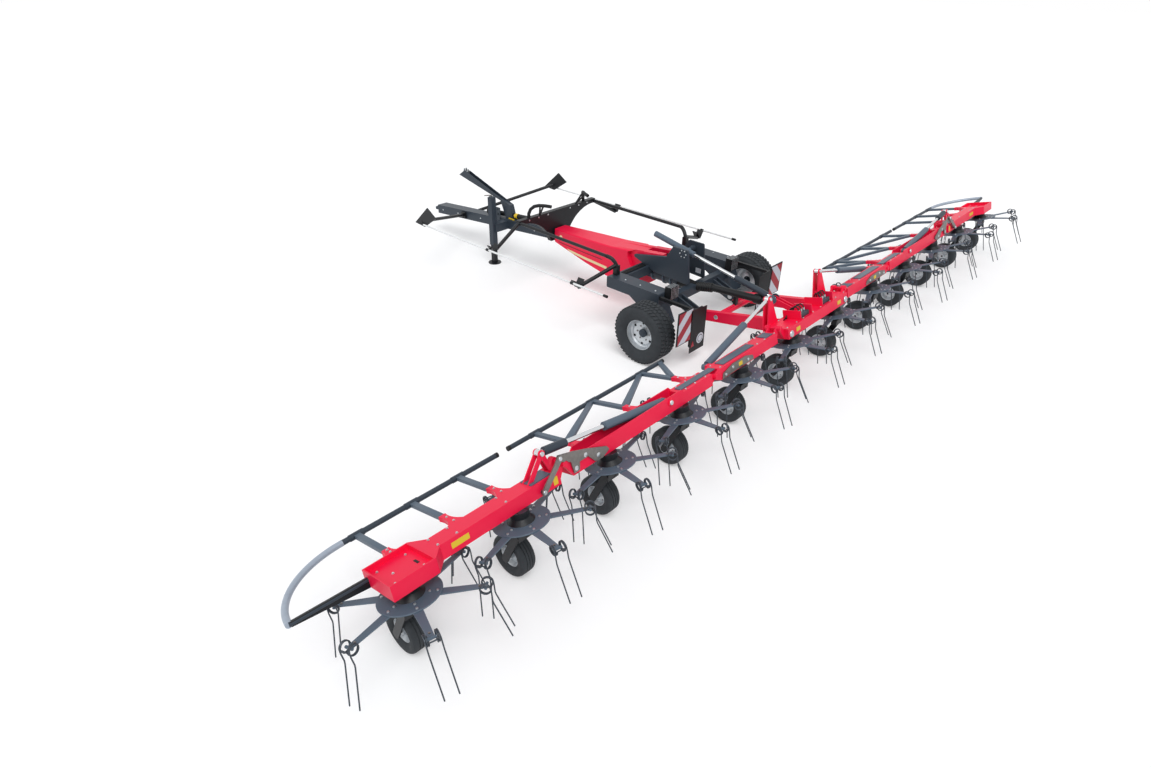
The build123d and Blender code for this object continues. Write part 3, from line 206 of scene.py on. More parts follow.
def addPrism(shape, outline, height, finish, placed, rim):
    # An upright plate over an outline, its two edges broken by a small chamfer where rim isn't 0
    count = len(outline)
    middle = Vector((sum(p[0] for p in outline) / count, sum(p[1] for p in outline) / count))
    points = [Vector(p) - middle for p in outline]
    share = 1 - rim / max(point.length for point in points)
    rings = [(0.0, 1.0), (height, 1.0)]
    if rim:
        rings = [(0.0, share), (rim, 1.0), (height - rim, 1.0), (height, share)]
    verts = []
    for z, scale in rings:
        verts += [(middle.x + point.x * scale, middle.y + point.y * scale, z) for point in points]
    faces = [list(range(count))[::-1], [count * (len(rings) - 1) + i for i in range(count)]]
    for ring in range(len(rings) - 1):
        low, high = ring * count, (ring + 1) * count
        for i in range(count):
            j = (i + 1) % count
            faces.append([low + i, low + j, high + j, high + i])
    addFaces(shape, verts, faces, finish, placed)


def addBox(shape, size, finish, placed, rim):
    x, y, z = (s / 2 for s in size)
    addPrism(shape, [(-x, -y), (x, -y), (x, y), (-x, y)], size[2], finish,
             placed @ Matrix.Translation((0, 0, -z)), rim)


def addLathe(shape, profile, finish, placed=Matrix(), steps=24):
    # A profile of radius and height, turned about z
    verts, faces = [], []
    count = len(profile)
    for step in range(steps):
        turn = 2 * math.pi * step / steps
        verts += [(r * math.cos(turn), r * math.sin(turn), z) for r, z in profile]
    for step in range(steps):
        near, far = step * count, (step + 1) % steps * count
        for i in range(count - 1):
            faces.append([near + i, far + i, far + i + 1, near + i + 1])
    addFaces(shape, verts, faces, finish, placed)


def addTube(shape, path, radius, finish, placed=Matrix(), steps=8):
    # A round wire or pipe along a path, closed at both ends
    path = [Vector(p) for p in path]
    verts, faces = [], []
    side = None
    for i, spot in enumerate(path):
        run = (path[min(i + 1, len(path) - 1)] - path[max(i - 1, 0)]).normalized()
        if side is None:
            side = run.orthogonal().normalized()
        side = (side - run * side.dot(run)).normalized()
        other = run.cross(side)
        for step in range(steps):
            turn = 2 * math.pi * step / steps
            verts.append(spot + (side * math.cos(turn) + other * math.sin(turn)) * radius)
    for i in range(len(path) - 1):
        near, far = i * steps, (i + 1) * steps
        for step in range(steps):
            nextStep = (step + 1) % steps
            faces.append([near + step, near + nextStep, far + nextStep, far + step])
    faces.append(list(range(steps))[::-1])
    faces.append([(len(path) - 1) * steps + step for step in range(steps)])
    addFaces(shape, verts, faces, finish, placed)


# Hexagon head on a washer, as shares of the bolt's size
boltSpec = {"washerHigh": 0.15, "washerRadius": 0.95, "headRadius": 0.75, "headHigh": 0.62, "headEdge": 0.08}


def addBolt(shape, spot, axis, size, finish):
    placed = axesAt(spot, axis.orthogonal(), axis)
    lift, wide = size * boltSpec["washerHigh"], size * boltSpec["washerRadius"]
    addLathe(shape, [(0, lift), (wide, lift), (wide, 0)], finish, placed, steps=16)
    reach, high, edge = (size * boltSpec[key] for key in ("headRadius", "headHigh", "headEdge"))
    corners = [(math.cos(k * math.pi / 3) * reach, math.sin(k * math.pi / 3) * reach) for k in range(6)]
    addPrism(shape, corners, high, finish, placed @ Matrix.Translation((0, 0, lift)), edge)


def meshFrom(shape, name, sharpFrom=35):
    mesh = bpy.data.meshes.new(name)
    mesh.from_pydata(shape["verts"], [], shape["faces"])
    for finish in shape["finishes"]:
        mesh.materials.append(finish)
    mesh.polygons.foreach_set("material_index", shape["finish"])
    mesh.update()
    mesh.shade_smooth()
    mesh.set_sharp_from_angle(angle=math.radians(sharpFrom))
    return mesh


def putPiece(mesh, name, body, placed=Matrix(), instead=()):
    piece = bpy.data.objects.new(name, mesh)
    bpy.context.scene.collection.objects.link(piece)
    piece.matrix_world = placed
    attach(piece, body)
    if instead:
        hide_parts(*instead)


rotorSpec = {
    "discRadius": 0.250, "discThick": 0.010, "discEdge": 0.003, "collarRadius": 0.082, "collarDrop": 0.060,
    "spindleRadius": 0.0455, "discBolts": (0.155, 0.215), "discBoltSize": 0.012,
    "arms": 6, "armReach": 0.580, "armRoot": 0.110, "armRootWidth": 0.084, "armEndWidth": 0.050,
    "armThick": 0.012, "armEdge": 0.002, "noseLong": 0.020, "noseShare": 0.7,
    "springBoltIn": 0.050, "springBoltSize": 0.011, "holderHalf": 0.036, "holderRadius": 0.012,
    "coilRadius": 0.041, "wireRadius": 0.0057, "coilTurns": 2, "turnSteps": 16, "turnPitch": 0.01197,
    "tineGap": 0.108, "coilExit": 0.030, "kneeOut": 0.034, "kneeDown": 0.110, "kneeRound": 0.012,
    "tipOut": 0.112, "tipDown": 0.425, "oddPhase": 41.9,
}


def addSpring(shape, spec, middle, turned):
    # Two coils on one holder, joined by a bridge, each running out into a tine with one knee
    coil, wireRadius = spec["coilRadius"], spec["wireRadius"]
    for hand in (-1, 1):
        start = hand * spec["tineGap"] / 2
        wire = []
        for step in range(spec["coilTurns"] * spec["turnSteps"], -1, -1):
            share = step / spec["turnSteps"]
            turn = share * 2 * math.pi
            inward = hand * share * spec["turnPitch"]
            wire.append(middle + Vector((coil * math.cos(turn), start - inward, coil * math.sin(turn))))
        wire.append(middle + Vector((coil, start, -spec["coilExit"])))
        knee = middle + Vector((spec["kneeOut"], start, -spec["kneeDown"]))
        tip = middle + Vector((spec["tipOut"], start, -spec["tipDown"]))
        along = (tip - knee).normalized()
        wire += [knee + upright * spec["kneeRound"], knee + along * spec["kneeRound"], tip]
        addTube(shape, wire, wireRadius, springWire, turned)
    half = spec["tineGap"] / 2 - spec["coilTurns"] * spec["turnPitch"]
    bridge = [middle + Vector((coil, y, 0)) for y in (-half, 0, half)]
    addTube(shape, bridge, wireRadius, springWire, turned)
    holder = [middle + across * way * spec["holderHalf"] for way in (-1, 1)]
    addTube(shape, holder, spec["holderRadius"], slateCoat, turned)


def rotorMesh(spec):
    shape = newShape()
    rim, thick, edge, hole = (spec[key] for key in ("discRadius", "discThick", "discEdge", "spindleRadius"))
    disc = [(hole, 0), (rim - edge, 0), (rim, -edge), (rim, -thick), (hole, -thick)]
    addLathe(shape, disc, slateCoat, steps=64)
    collar, drop = spec["collarRadius"], spec["collarDrop"]
    ring = [(hole, -thick), (collar, -thick), (collar, -drop), (hole, -drop), (hole, -thick)]
    addLathe(shape, ring, graphiteCoat, steps=40)
    armLow = -thick - spec["armThick"]
    root, reach, nose = spec["armRoot"], spec["armReach"], spec["armReach"] - spec["noseLong"]
    wide, slim = spec["armRootWidth"] / 2, spec["armEndWidth"] / 2
    blunt = slim * spec["noseShare"]
    outline = [(root, -wide), (nose, -slim), (reach, -blunt), (reach, blunt), (nose, slim), (root, wide)]
    springMiddle = Vector((reach, 0, armLow + spec["armThick"] / 2))
    springBolt = Vector((reach - spec["springBoltIn"], 0, -thick))
    for arm in range(spec["arms"]):
        turned = Matrix.Rotation(2 * math.pi * arm / spec["arms"], 4, "Z")
        lowered = turned @ Matrix.Translation((0, 0, armLow))
        addPrism(shape, outline, spec["armThick"], slateCoat, lowered, spec["armEdge"])
        for out in spec["discBolts"]:  # the two bolts that hold the arm under the disc
            addBolt(shape, turned @ Vector((out, 0, 0)), upright, spec["discBoltSize"], brightZinc)
        addBolt(shape, turned @ springBolt, upright, spec["springBoltSize"], bareSteel)
        addSpring(shape, spec, springMiddle, turned)
    return meshFrom(shape, "rotor")


rotor = rotorMesh(rotorSpec)
for number in range(1, rotorCount + 1):
    name = f"rotor_{number:02d}"
    phase = rotorSpec["oddPhase"] if number % 2 else 90 - rotorSpec["oddPhase"]
    spot = Vector(joints[f"{name}_spin"]["pos_m"])
    placed = axesAt(spot, boomAhead, boomUp) @ Matrix.Rotation(math.radians(phase), 4, "Z")
    putPiece(rotor, f"tinedRotor{number:02d}", name, placed, [name])
print("rotors made")

rotorWheelSpec = {
    "radius": 0.203, "width": 0.165, "rimRadius": 0.106, "hubRadius": 0.032, "hubWidth": 0.120,
    "axleRadius": 0.017, "bolts": 5, "boltShare": 0.62, "boltFace": 0.014, "boltSize": 0.008,
    "beads": ((-0.004, 0.62), (0.012, 0.80)),  # past the rim, and as a share of half the width
    "wall": ((0.74, 0.98), (0.84, 1.0), (0.93, 0.93), (0.975, 0.78)),  # shares of radius and half width
    "ribs": 4, "grooveDepth": 0.007, "treadShare": 0.70, "crownDrop": 0.012,
    "ribEdges": (0.10, 0.84), "grooveEdges": (0.88, 1.06),  # shares of one rib's pitch
    "lipShare": 0.66, "lip": ((0.006, 1.0), (-0.004, 1.0), (-0.012, 0.7)), "dishIn": 0.020,
    "dishRear": (-0.012, -0.004, -0.020), "dishFront": (0.008, 0.016, 0.012),
}


def treadProfile(spec):
    # The outer section of a ribbed tyre, from one bead over the tread to the other
    radius, rim, half = spec["radius"], spec["rimRadius"], spec["width"] / 2
    wall = [(rim + out, -half * share) for out, share in spec["beads"]]
    wall += [(radius * tall, -half * share) for tall, share in spec["wall"]]
    span = 2 * half * spec["treadShare"] / spec["ribs"]
    tread = []
    for rib in range(spec["ribs"]):
        low = -half * spec["treadShare"] + span * rib
        crown = 1 - spec["crownDrop"] * abs(low + span / 2) / half
        tread += [(radius * crown, low + span * share) for share in spec["ribEdges"]]
        if rib < spec["ribs"] - 1:
            tread += [(radius - spec["grooveDepth"], low + span * share) for share in spec["grooveEdges"]]
    return wall + tread + [(r, -z) for r, z in reversed(wall)]


def rotorWheelMesh(spec):
    shape = newShape()
    addLathe(shape, treadProfile(spec), tyreRubber, steps=56)
    rim, hub, axle, hubHalf = spec["rimRadius"], spec["hubRadius"], spec["axleRadius"], spec["hubWidth"] / 2
    boltCircle = rim * spec["boltShare"]
    lip = spec["width"] / 2 * spec["lipShare"]
    dish = (rim - spec["dishIn"], boltCircle, hub)
    rimProfile = [(rim + out, -lip * share) for out, share in spec["lip"]]
    rimProfile += list(zip(dish, spec["dishRear"]))
    rimProfile += [(hub, -hubHalf), (axle, -hubHalf), (axle, hubHalf), (hub, hubHalf)]
    rimProfile += list(zip(dish, spec["dishFront"]))[::-1]
    rimProfile += [(rim + out, lip * share) for out, share in reversed(spec["lip"])]
    addLathe(shape, rimProfile, silverLacquer, steps=40)
    for bolt in range(spec["bolts"]):
        turn = 2 * math.pi * bolt / spec["bolts"]
        for hand in (-1, 1):
            spot = Vector((math.cos(turn) * boltCircle, math.sin(turn) * boltCircle, hand * spec["boltFace"]))
            addBolt(shape, spot, upright * hand, spec["boltSize"], bareSteel)
    return meshFrom(shape, "rotorWheel")


rotorWheel = rotorWheelMesh(rotorWheelSpec)
for number in range(1, rotorCount + 1):
    name = f"rotor_wheel_{number:02d}"
    placed = axesAt(Vector(joints[f"{name}_spin"]["pos_m"]), forward, across)
    putPiece(rotorWheel, f"ribbedWheel{number:02d}", name, placed, [name])
print("rotor wheels made")

# Each row of tread blocks: place and width as shares of half the tyre, slant, and offset in pitches
roadTyreSpec = {
    "treadRadius": 0.390, "width": 0.338, "treadShare": 0.72,
    "wall": ((0.206, 0.70), (0.226, 0.82), (0.285, 0.99), (0.325, 1.0), (0.360, 0.94), (0.386, 0.80)),
    "blocks": 44, "blockLong": 0.041, "blockHigh": 0.016, "blockSink": 0.006, "blockEdge": 0.003,
    "rows": ((-0.62, 0.40, 0.35, 0.0), (-0.20, 0.30, -0.30, 0.5),
             (0.20, 0.30, 0.30, 0.0), (0.62, 0.40, -0.35, 0.5)),
}


def roadTyreMesh(spec):
    shape = newShape()
    half, tread = spec["width"] / 2, spec["treadRadius"]
    flat = half * spec["treadShare"]
    wall = [(r, -half * share) for r, share in spec["wall"]]
    profile = wall + [(tread, -flat), (tread, flat)] + [(r, -z) for r, z in reversed(wall)]
    addLathe(shape, profile, tyreRubber, steps=72)
    blockPitch = 2 * math.pi / spec["blocks"]
    for block in range(spec["blocks"]):
        for y, wide, slant, offset in spec["rows"]:
            spin = Matrix.Rotation((block + offset) * blockPitch, 4, "Z")
            foot = spin @ Vector((tread - spec["blockSink"], 0, y * half))
            placed = axesAt(foot, spin @ across, spin @ forward) @ Matrix.Rotation(slant, 4, "Z")
            size = (spec["blockLong"], wide * half, spec["blockHigh"])
            addBox(shape, size, tyreRubber, placed @ Matrix.Translation((0, 0, size[2] / 2)),
                   spec["blockEdge"])
    return meshFrom(shape, "roadTyre", 30)


roadRimSpec = {
    "radius": 0.205, "width": 0.240, "flange": ((0.018, 0.0), (0.018, 0.006), (-0.004, 0.010)),
    "dishRadii": (0.193, 0.175, 0.1476, 0.123, 0.075, 0.036),
    "dishRear": (-0.030, 0.012, 0.028, 0.020, 0.002, 0.002),
    "dishFront": (0.050, 0.030, 0.042, 0.034, 0.016, 0.016),
    "bolts": 6, "boltCircle": 0.100, "boltFace": 0.022, "boltSize": 0.014,
    "ventCircle": 0.1476, "ventTurn": 0.5, "ventFace": 0.041,
    "ventHoleShade": ((0, 0.004), (0.016, 0.004), (0.018, 0)),
    "hub": ((0.036, 0.05), (0.055, 0.05), (0.055, 0.0), (0.036, 0.0)),
    "hubCap": ((0.0, 0.062), (0.03, 0.060), (0.040, 0.05)),
}


def roadRimMesh(spec):
    shape = newShape()
    rim, half = spec["radius"], spec["width"] / 2
    profile = [(rim + out, -half + inward) for out, inward in spec["flange"]]
    profile += list(zip(spec["dishRadii"], spec["dishRear"]))
    profile += list(zip(spec["dishRadii"], spec["dishFront"]))[::-1]
    profile += [(rim + out, half - inward) for out, inward in reversed(spec["flange"])]
    addLathe(shape, profile, silverLacquer, steps=64)
    for bolt in range(spec["bolts"]):
        spin = Matrix.Rotation(2 * math.pi * bolt / spec["bolts"], 4, "Z")
        spot = spin @ Vector((spec["boltCircle"], 0, spec["boltFace"]))
        addBolt(shape, spot, upright, spec["boltSize"], bareSteel)
        spin = spin @ Matrix.Rotation(spec["ventTurn"], 4, "Z")
        # Black discs at the vent holes: painted shade seen through the holes
        ventHoleShade = spin @ Vector((spec["ventCircle"], 0, spec["ventFace"]))
        addLathe(shape, spec["ventHoleShade"], blackPlastic, Matrix.Translation(ventHoleShade), steps=16)
    addLathe(shape, spec["hub"], graphiteCoat, steps=32)
    addLathe(shape, spec["hubCap"], graphiteCoat)
    return meshFrom(shape, "roadRim", 30)


roadTyre = roadTyreMesh(roadTyreSpec)
roadRim = roadRimMesh(roadRimSpec)
for side, hand in sides.items():
    body = f"main_wheel_{side}"
    placed = axesAt(Vector(joints[f"{body}_spin"]["pos_m"]), forward, across * hand)
    putPiece(roadTyre, f"roadTyre{side.title()}", body, placed, [f"main_tyre_{side}"])
    putPiece(roadRim, f"roadRim{side.title()}", body, placed, [f"main_rim_{side}"])
print("road wheels made")

# Gear housings and legs are black, struts slate, the hoop pale, the hinge's lever and link zinc plate, and the mid
# beam's trough floor slate as painted shade in the trough
beyond = 9
housings = {"up": (-beyond, 0.1)}
struts = {"ahead": (0.37, beyond)}
paintSpec = {
    "outer_fittings": (
        (blackCoat, housings), (slateCoat, struts),
        (greyTube, {"ahead": (0.24, beyond), "across": (6.15, beyond), "up": (0.1, beyond)}),
        (bareSteel, {"ahead": (-beyond, -0.050), "across": (4.4, 4.8), "up": (0.08, beyond)})),
    "mid_fittings": (
        (blackCoat, housings), (slateCoat, struts),
        (bareSteel, {"ahead": (-beyond, -0.027), "across": (3.88, 4.6), "up": (0.102, beyond)})),
    "inner_fittings": ((blackCoat, housings),),
    # The trough floor of the mid beam is painted slate: painted shade inside the red trough
    "wing_mid": ((slateCoat, {"ahead": (-0.01, 0.13), "across": (2.8, 4.17), "up": (0.13, 0.15)}),),
}


def paintWhere(node, finish, limits):
    # Paints those faces of a CAD node whose middles lie between the limits along the boom's axes
    mesh = nodes[node].data
    mesh.materials.append(finish)
    slotIndex = len(mesh.materials) - 1
    for face in mesh.polygons:
        offset = face.center - discLine
        place = {"ahead": offset.dot(boomAhead), "across": abs(face.center.y), "up": offset.dot(boomUp)}
        if all(low < place[way] < high for way, (low, high) in limits.items()):
            face.material_index = slotIndex


for side in sides:
    for part, paints in paintSpec.items():
        for finish, limits in paints:
            paintWhere(f"{part}_{side}", finish, limits)
    nodes[f"fold_cylinder_{side}"].data.materials[0] = slateCoat
    nodes[f"wing_cylinder_{side}"].data.materials[0] = slateCoat
paintWhere("centre_fittings", blackCoat, housings)
paintWhere("lift_arms", blackCoat, {"across": (-beyond, 0.07)})  # the shaft between the arms
nodes["top_link_barrel"].data.materials[0] = slateCoat
nodes["drawbar"].data.materials[0] = graphiteCoat
print("plates, struts and barrels painted")

filmThick = 0.003
plateEdge = 0.002
headSpec = {"flat": 0.88, "edge": 0.6}  # shares of a round head's radius and thickness


def addSlab(shape, spot, size, finish, xAxis, zAxis, rim=0.0):
    addBox(shape, size, finish, axesAt(spot, xAxis, zAxis), rim)


def addDisc(shape, spot, axis, radius, thick, finish):
    # A flat round head with a broken edge
    flat, edge = radius * headSpec["flat"], thick * headSpec["edge"]
    addLathe(shape, [(0, thick), (flat, thick), (radius, edge), (radius, 0)], finish,
             axesAt(spot, axis.orthogonal(), axis))


def addPinHeads(shape, middle, axis, half, head):
    # Both heads of a pin, each given by radius and thickness, at half the pin's length from its middle
    for way in (-1, 1):
        addDisc(shape, middle + axis * way * half, axis * way, *head, brightZinc)


def addRearHeads(shape, hand, face, places, head):
    # Round heads on a face of the boom that looks to the rear
    for y, up in places:
        addDisc(shape, boomSpot(face, hand * y, up), boomBack, *head, brightZinc)


def addRearFilms(shape, hand, face, films):
    # Yellow films on such a face, given by across, up, width and height
    for y, up, wide, high in films:
        spot = boomSpot(face, hand * y, up)
        addSlab(shape, spot, (wide, high, filmThick), yellowFilm, across, boomBack)


def addRearPlate(shape, outline, origin, away, thick, finish, hand, rim=0.0):
    # A plate on a face that looks to the rear, its outline as pairs of across and up
    points = [(y, -hand * up) for y, up in outline]
    if hand > 0:
        points.reverse()
    addPrism(shape, points, thick, finish, axesAt(origin, across * hand, away), rim)


def addTopBolts(shape, hand, rows, lines, top, size):
    for y in rows:
        for ahead in lines:
            addBolt(shape, boomSpot(ahead, hand * y, top), boomUp, size, brightZinc)


# Bolts, films, clamps and covers of the folding wings, and the guard rail's round tube over its solid
wingSpec = {
    "beamMiddle": 0.060, "beamTop": 0.230, "beamRear": -0.028, "footTop": 0.209, "boltSize": 0.012,
    "outerFeet": (4.98, 5.48, 6.02), "midFeet": (2.38, 3.19, 4.02), "midSlants": (2.03, 2.38, 3.19),
    "footBolts": (0.21, 0.31), "endFootBolts": (0.30, 0.35), "endFootFrom": 5.9,
    "topBolts": (-0.005, 0.125), "outerTop": (5.10, 5.60, 5.78),
    "midTop": (2.32, 2.50, 2.66, 4.23, 4.31), "innerTop": (0.93, 1.14, 1.30, 2.04),
    "railAhead": 0.851, "railUp": 0.186, "railRadius": 0.0245, "railSteps": 24,
    "outerRail": (4.52, 6.15), "midRail": (1.98, 4.365),
    "outerPlug": 4.515, "plugRadius": 0.0255, "plugReach": (-0.02, 0.012),
    "clampLength": 0.13, "clampRadius": 0.0295,
    "braceFoot": 0.385, "braceHead": 0.835, "braceInset": 0.03, "braceWidth": 0.053, "braceHigh": 0.034,
    "braceEdge": 0.004, "hoopRadius": 0.74732, "hoopTurn": 1.43075, "hoopTube": 0.0265, "hoopSteps": 28,
    "tipBar": ((6.26, 0.095), (6.88, 0.165), (6.88, 0.205), (6.26, 0.180)),
    "tipBarAhead": 0.220, "tipBarThick": 0.024,
    "trayFloor": 0.185, "trayBolts": ((-0.07, 5.96), (0.19, 5.96), (-0.07, 6.21), (0.19, 6.21), (0.06, 6.15)),
    "traySlotShade": (0.03, 5.965, 0.186), "traySlotShadeSize": (0.022, 0.06, 0.003),
    "coverLift": 0.004, "coverThick": 0.012, "outerCovers": ((4.71, 0.23, 0.14),),
    "midCovers": ((2.41, 0.60, 0.085),), "innerCovers": ((1.03, 0.15, 0.13), (1.66, 0.62, 0.11)),
    "outerFilms": ((4.575, 0.160, 0.05, 0.075), (5.60, 0.168, 0.17, 0.05)),
    "innerFilms": ((1.71, 0.157, 0.07, 0.045),),
    "foldEye": (4.620, 0.428), "eyeHalf": 0.039, "eyeHead": (0.023, 0.012),
    "foldClevis": (2.950, 0.205), "clevisHalf": 0.098, "clevisHead": (0.026, 0.010),
    "sleeve": (0.055, 0.31), "sleeveRadius": 0.040,
    "leverFace": -0.048, "leverBolts": ((4.05, 0.160), (4.332, 0.165), (4.20, 0.232)),
    "leverHead": (0.022, 0.004),
    "linkFace": -0.066, "linkBolts": ((4.740, 0.140), (4.505, 0.345)), "linkHead": (0.020, 0.008),
    "contourPlate": ((1.44, 0.115), (2.06, 0.11), (2.04, 0.165), (1.85, 0.208), (1.60, 0.203), (1.46, 0.165)),
    "contourThick": 0.012, "contourBolts": ((2.00, 0.136), (1.86, 0.170), (1.56, 0.150)),
    "contourHead": (0.016, 0.007),
    "troughHoses": (0.115, 0.128), "hoseUp": 0.148, "hoseRun": (2.80, 3.2, 3.6, 4.15), "hoseRadius": 0.0065,
}


def railSpot(hand, y):
    return boomSpot(wingSpec["railAhead"], hand * y, wingSpec["railUp"])


def addGuardRail(shape, hand, spec, feet, braces, ends):
    # Rail in a clamp over each foot, on braces that run from a foot straight or aslant to the rail
    for y in feet:
        lines = spec["endFootBolts" if y > spec["endFootFrom"] else "footBolts"]
        addTopBolts(shape, hand, [y], lines, spec["footTop"], spec["boltSize"])
        clamp = [railSpot(hand, y + way * spec["clampLength"] / 2) for way in (-1, 1)]
        addTube(shape, clamp, spec["clampRadius"], graphiteCoat, steps=20)
    for footY, headY in braces:
        inset = (headY - footY) * spec["braceInset"]
        foot = boomSpot(spec["braceFoot"], hand * (footY + inset), spec["railUp"])
        head = boomSpot(spec["braceHead"], hand * (headY - inset), spec["railUp"])
        size = (spec["braceWidth"], spec["braceHigh"], (head - foot).length)
        addSlab(shape, (foot + head) / 2, size, slateCoat, across, head - foot, spec["braceEdge"])
    addTube(shape, [railSpot(hand, y) for y in ends], spec["railRadius"], graphiteCoat,
            steps=spec["railSteps"])


def addPlug(shape, hand, spec, end, out):
    plug = [railSpot(hand, end + out * reach) for reach in spec["plugReach"]]
    addTube(shape, plug, spec["plugRadius"], blackPlastic, steps=20)


def addCovers(shape, hand, spec, covers):
    # Slate plates on the beam's top, given by place, length and width
    for y, long, wide in covers:
        spot = boomSpot(spec["beamMiddle"], hand * y, spec["beamTop"] + spec["coverLift"])
        addSlab(shape, spot, (long, wide, spec["coverThick"]), slateCoat, across, boomUp, plateEdge)


def outerTrim(hand, spec):
    shape = newShape()
    addGuardRail(shape, hand, spec, spec["outerFeet"], [(y, y) for y in spec["outerFeet"]], spec["outerRail"])
    addPlug(shape, hand, spec, spec["outerPlug"], -1)
    hoop = []
    for step in range(spec["hoopSteps"] + 1):
        turn = spec["hoopTurn"] * step / spec["hoopSteps"]
        ahead = spec["railAhead"] - spec["hoopRadius"] * (1 - math.cos(turn))
        y = spec["outerRail"][1] + spec["hoopRadius"] * math.sin(turn)
        hoop.append(boomSpot(ahead, hand * y, spec["railUp"]))
    addTube(shape, hoop, spec["hoopTube"], greyTube, steps=spec["railSteps"])
    addRearPlate(shape, spec["tipBar"], boomSpot(spec["tipBarAhead"], 0, 0), boomBack, spec["tipBarThick"],
                 blackCoat, hand, plateEdge)
    addTopBolts(shape, hand, spec["outerTop"], spec["topBolts"], spec["beamTop"], spec["boltSize"])
    for ahead, y in spec["trayBolts"]:
        addBolt(shape, boomSpot(ahead, hand * y, spec["trayFloor"]), boomUp, spec["boltSize"], brightZinc)
    # Black sheet on the tray floor: painted shade seen through the tray's slot
    slotAhead, slotAcross, slotUp = spec["traySlotShade"]
    addSlab(shape, boomSpot(slotAhead, hand * slotAcross, slotUp), spec["traySlotShadeSize"], blackPlastic,
            across, boomUp)
    addCovers(shape, hand, spec, spec["outerCovers"])
    addRearFilms(shape, hand, spec["beamRear"], spec["outerFilms"])
    addRearHeads(shape, hand, spec["linkFace"], spec["linkBolts"], spec["linkHead"])
    eyeAcross, eyeUp = spec["foldEye"]
    eye = boomSpot(spec["beamMiddle"], hand * eyeAcross, eyeUp)
    addPinHeads(shape, eye, boomAhead, spec["eyeHalf"], spec["eyeHead"])
    return shape


def midTrim(hand, spec):
    shape = newShape()
    braces = [(y, y) for y in spec["midFeet"]] + list(zip(spec["midFeet"], spec["midSlants"]))
    addGuardRail(shape, hand, spec, spec["midFeet"], braces, spec["midRail"])
    for end, out in zip(spec["midRail"], (-1, 1)):
        addPlug(shape, hand, spec, end, out)
    addTopBolts(shape, hand, spec["midTop"], spec["topBolts"], spec["beamTop"], spec["boltSize"])
    addCovers(shape, hand, spec, spec["midCovers"])
    addRearHeads(shape, hand, spec["leverFace"], spec["leverBolts"], spec["leverHead"])
    clevisAcross, clevisUp = spec["foldClevis"]
    clevis = boomSpot(spec["beamMiddle"], hand * clevisAcross, clevisUp)
    addPinHeads(shape, clevis, boomAhead, spec["clevisHalf"], spec["clevisHead"])
    for ahead in spec["troughHoses"]:  # two hoses on the trough's floor
        run = [boomSpot(ahead, hand * y, spec["hoseUp"]) for y in spec["hoseRun"]]
        addTube(shape, run, spec["hoseRadius"], hoseRubber, steps=12)
    return shape


def innerTrim(hand, spec):
    shape = newShape()
    addTopBolts(shape, hand, spec["innerTop"], spec["topBolts"], spec["beamTop"], spec["boltSize"])
    addCovers(shape, hand, spec, spec["innerCovers"])
    rear = spec["beamRear"]
    addRearPlate(shape, spec["contourPlate"], boomSpot(rear, 0, 0), boomBack, spec["contourThick"], bareSteel,
                 hand, plateEdge)
    plateFace = rear - spec["contourThick"]
    addRearHeads(shape, hand, plateFace, spec["contourBolts"], spec["contourHead"])
    addRearFilms(shape, hand, plateFace, spec["innerFilms"])
    return shape


def rodSleeve(hand, spec):
    # Dark collar of the fold cylinder's rod, from its eye towards the clevis
    shape = newShape()
    pins = (spec["foldEye"], spec["foldClevis"])
    eye, clevis = (boomSpot(spec["beamMiddle"], hand * y, up) for y, up in pins)
    inward = (clevis - eye).normalized()
    ends = [eye + inward * reach for reach in spec["sleeve"]]
    addTube(shape, ends, spec["sleeveRadius"], graphiteCoat, steps=24)
    return shape


for side, hand in sides.items():
    for make, name, body, slot in (
            (outerTrim, "outerTrim", "outer", "red_paint"), (midTrim, "midTrim", "mid", "red_paint"),
            (innerTrim, "innerTrim", "inner", "red_paint"),
            (rodSleeve, "rodSleeve", "fold_rod", "black_paint")):
        putPiece(meshFrom(make(hand, wingSpec), name), f"{name}{side.title()}", f"{body}_{side}")
print("wing trim made")

# Pins, films, hoses and the valve block between its cheeks on the centre frame
centreSpec = {
    "rear": -0.090, "top": 0.230, "films": ((0.526, 0.161, 0.09, 0.05),),
    "bosses": ((0.690, 0.150),), "bossHead": (0.042, 0.014),
    "linkPin": (0.490, 0.0395, 0.840), "linkHead": (0.060, 0.012),
    "rodPin": (0.230, 0.620, 0.540), "rodPinHalf": 0.0395, "rodHead": (0.022, 0.012),
    "armPin": (0.250, 0.420, 0.700), "armPinHalf": 0.0595, "armHead": (0.034, 0.012),
    "boltRows": (0.10, 0.34, 0.50, 0.72), "boltLines": (-0.06, 0.18), "boltSize": 0.012,
    "cheeks": (0.135, 0.405), "cheekAhead": 0.05, "cheekSize": (0.012, 0.24, 0.11),
    "valve": (0.0, 0.27), "valveSize": (0.20, 0.09, 0.055), "valveEdge": 0.004,
    "ports": 3, "portGap": 0.062, "port": (0.013, 0.035), "hoseRadius": 0.008,
    "hoseBend": ((0, 0, 0.030), (0.004, 0.002, 0.06), (0.03, 0.012, 0.082), (0.07, 0.03, 0.072),
                 (0.105, 0.05, 0.035), (0.12, 0.07, -0.01), (0.122, 0.10, -0.040), (0.122, 0.15, -0.0475)),
}


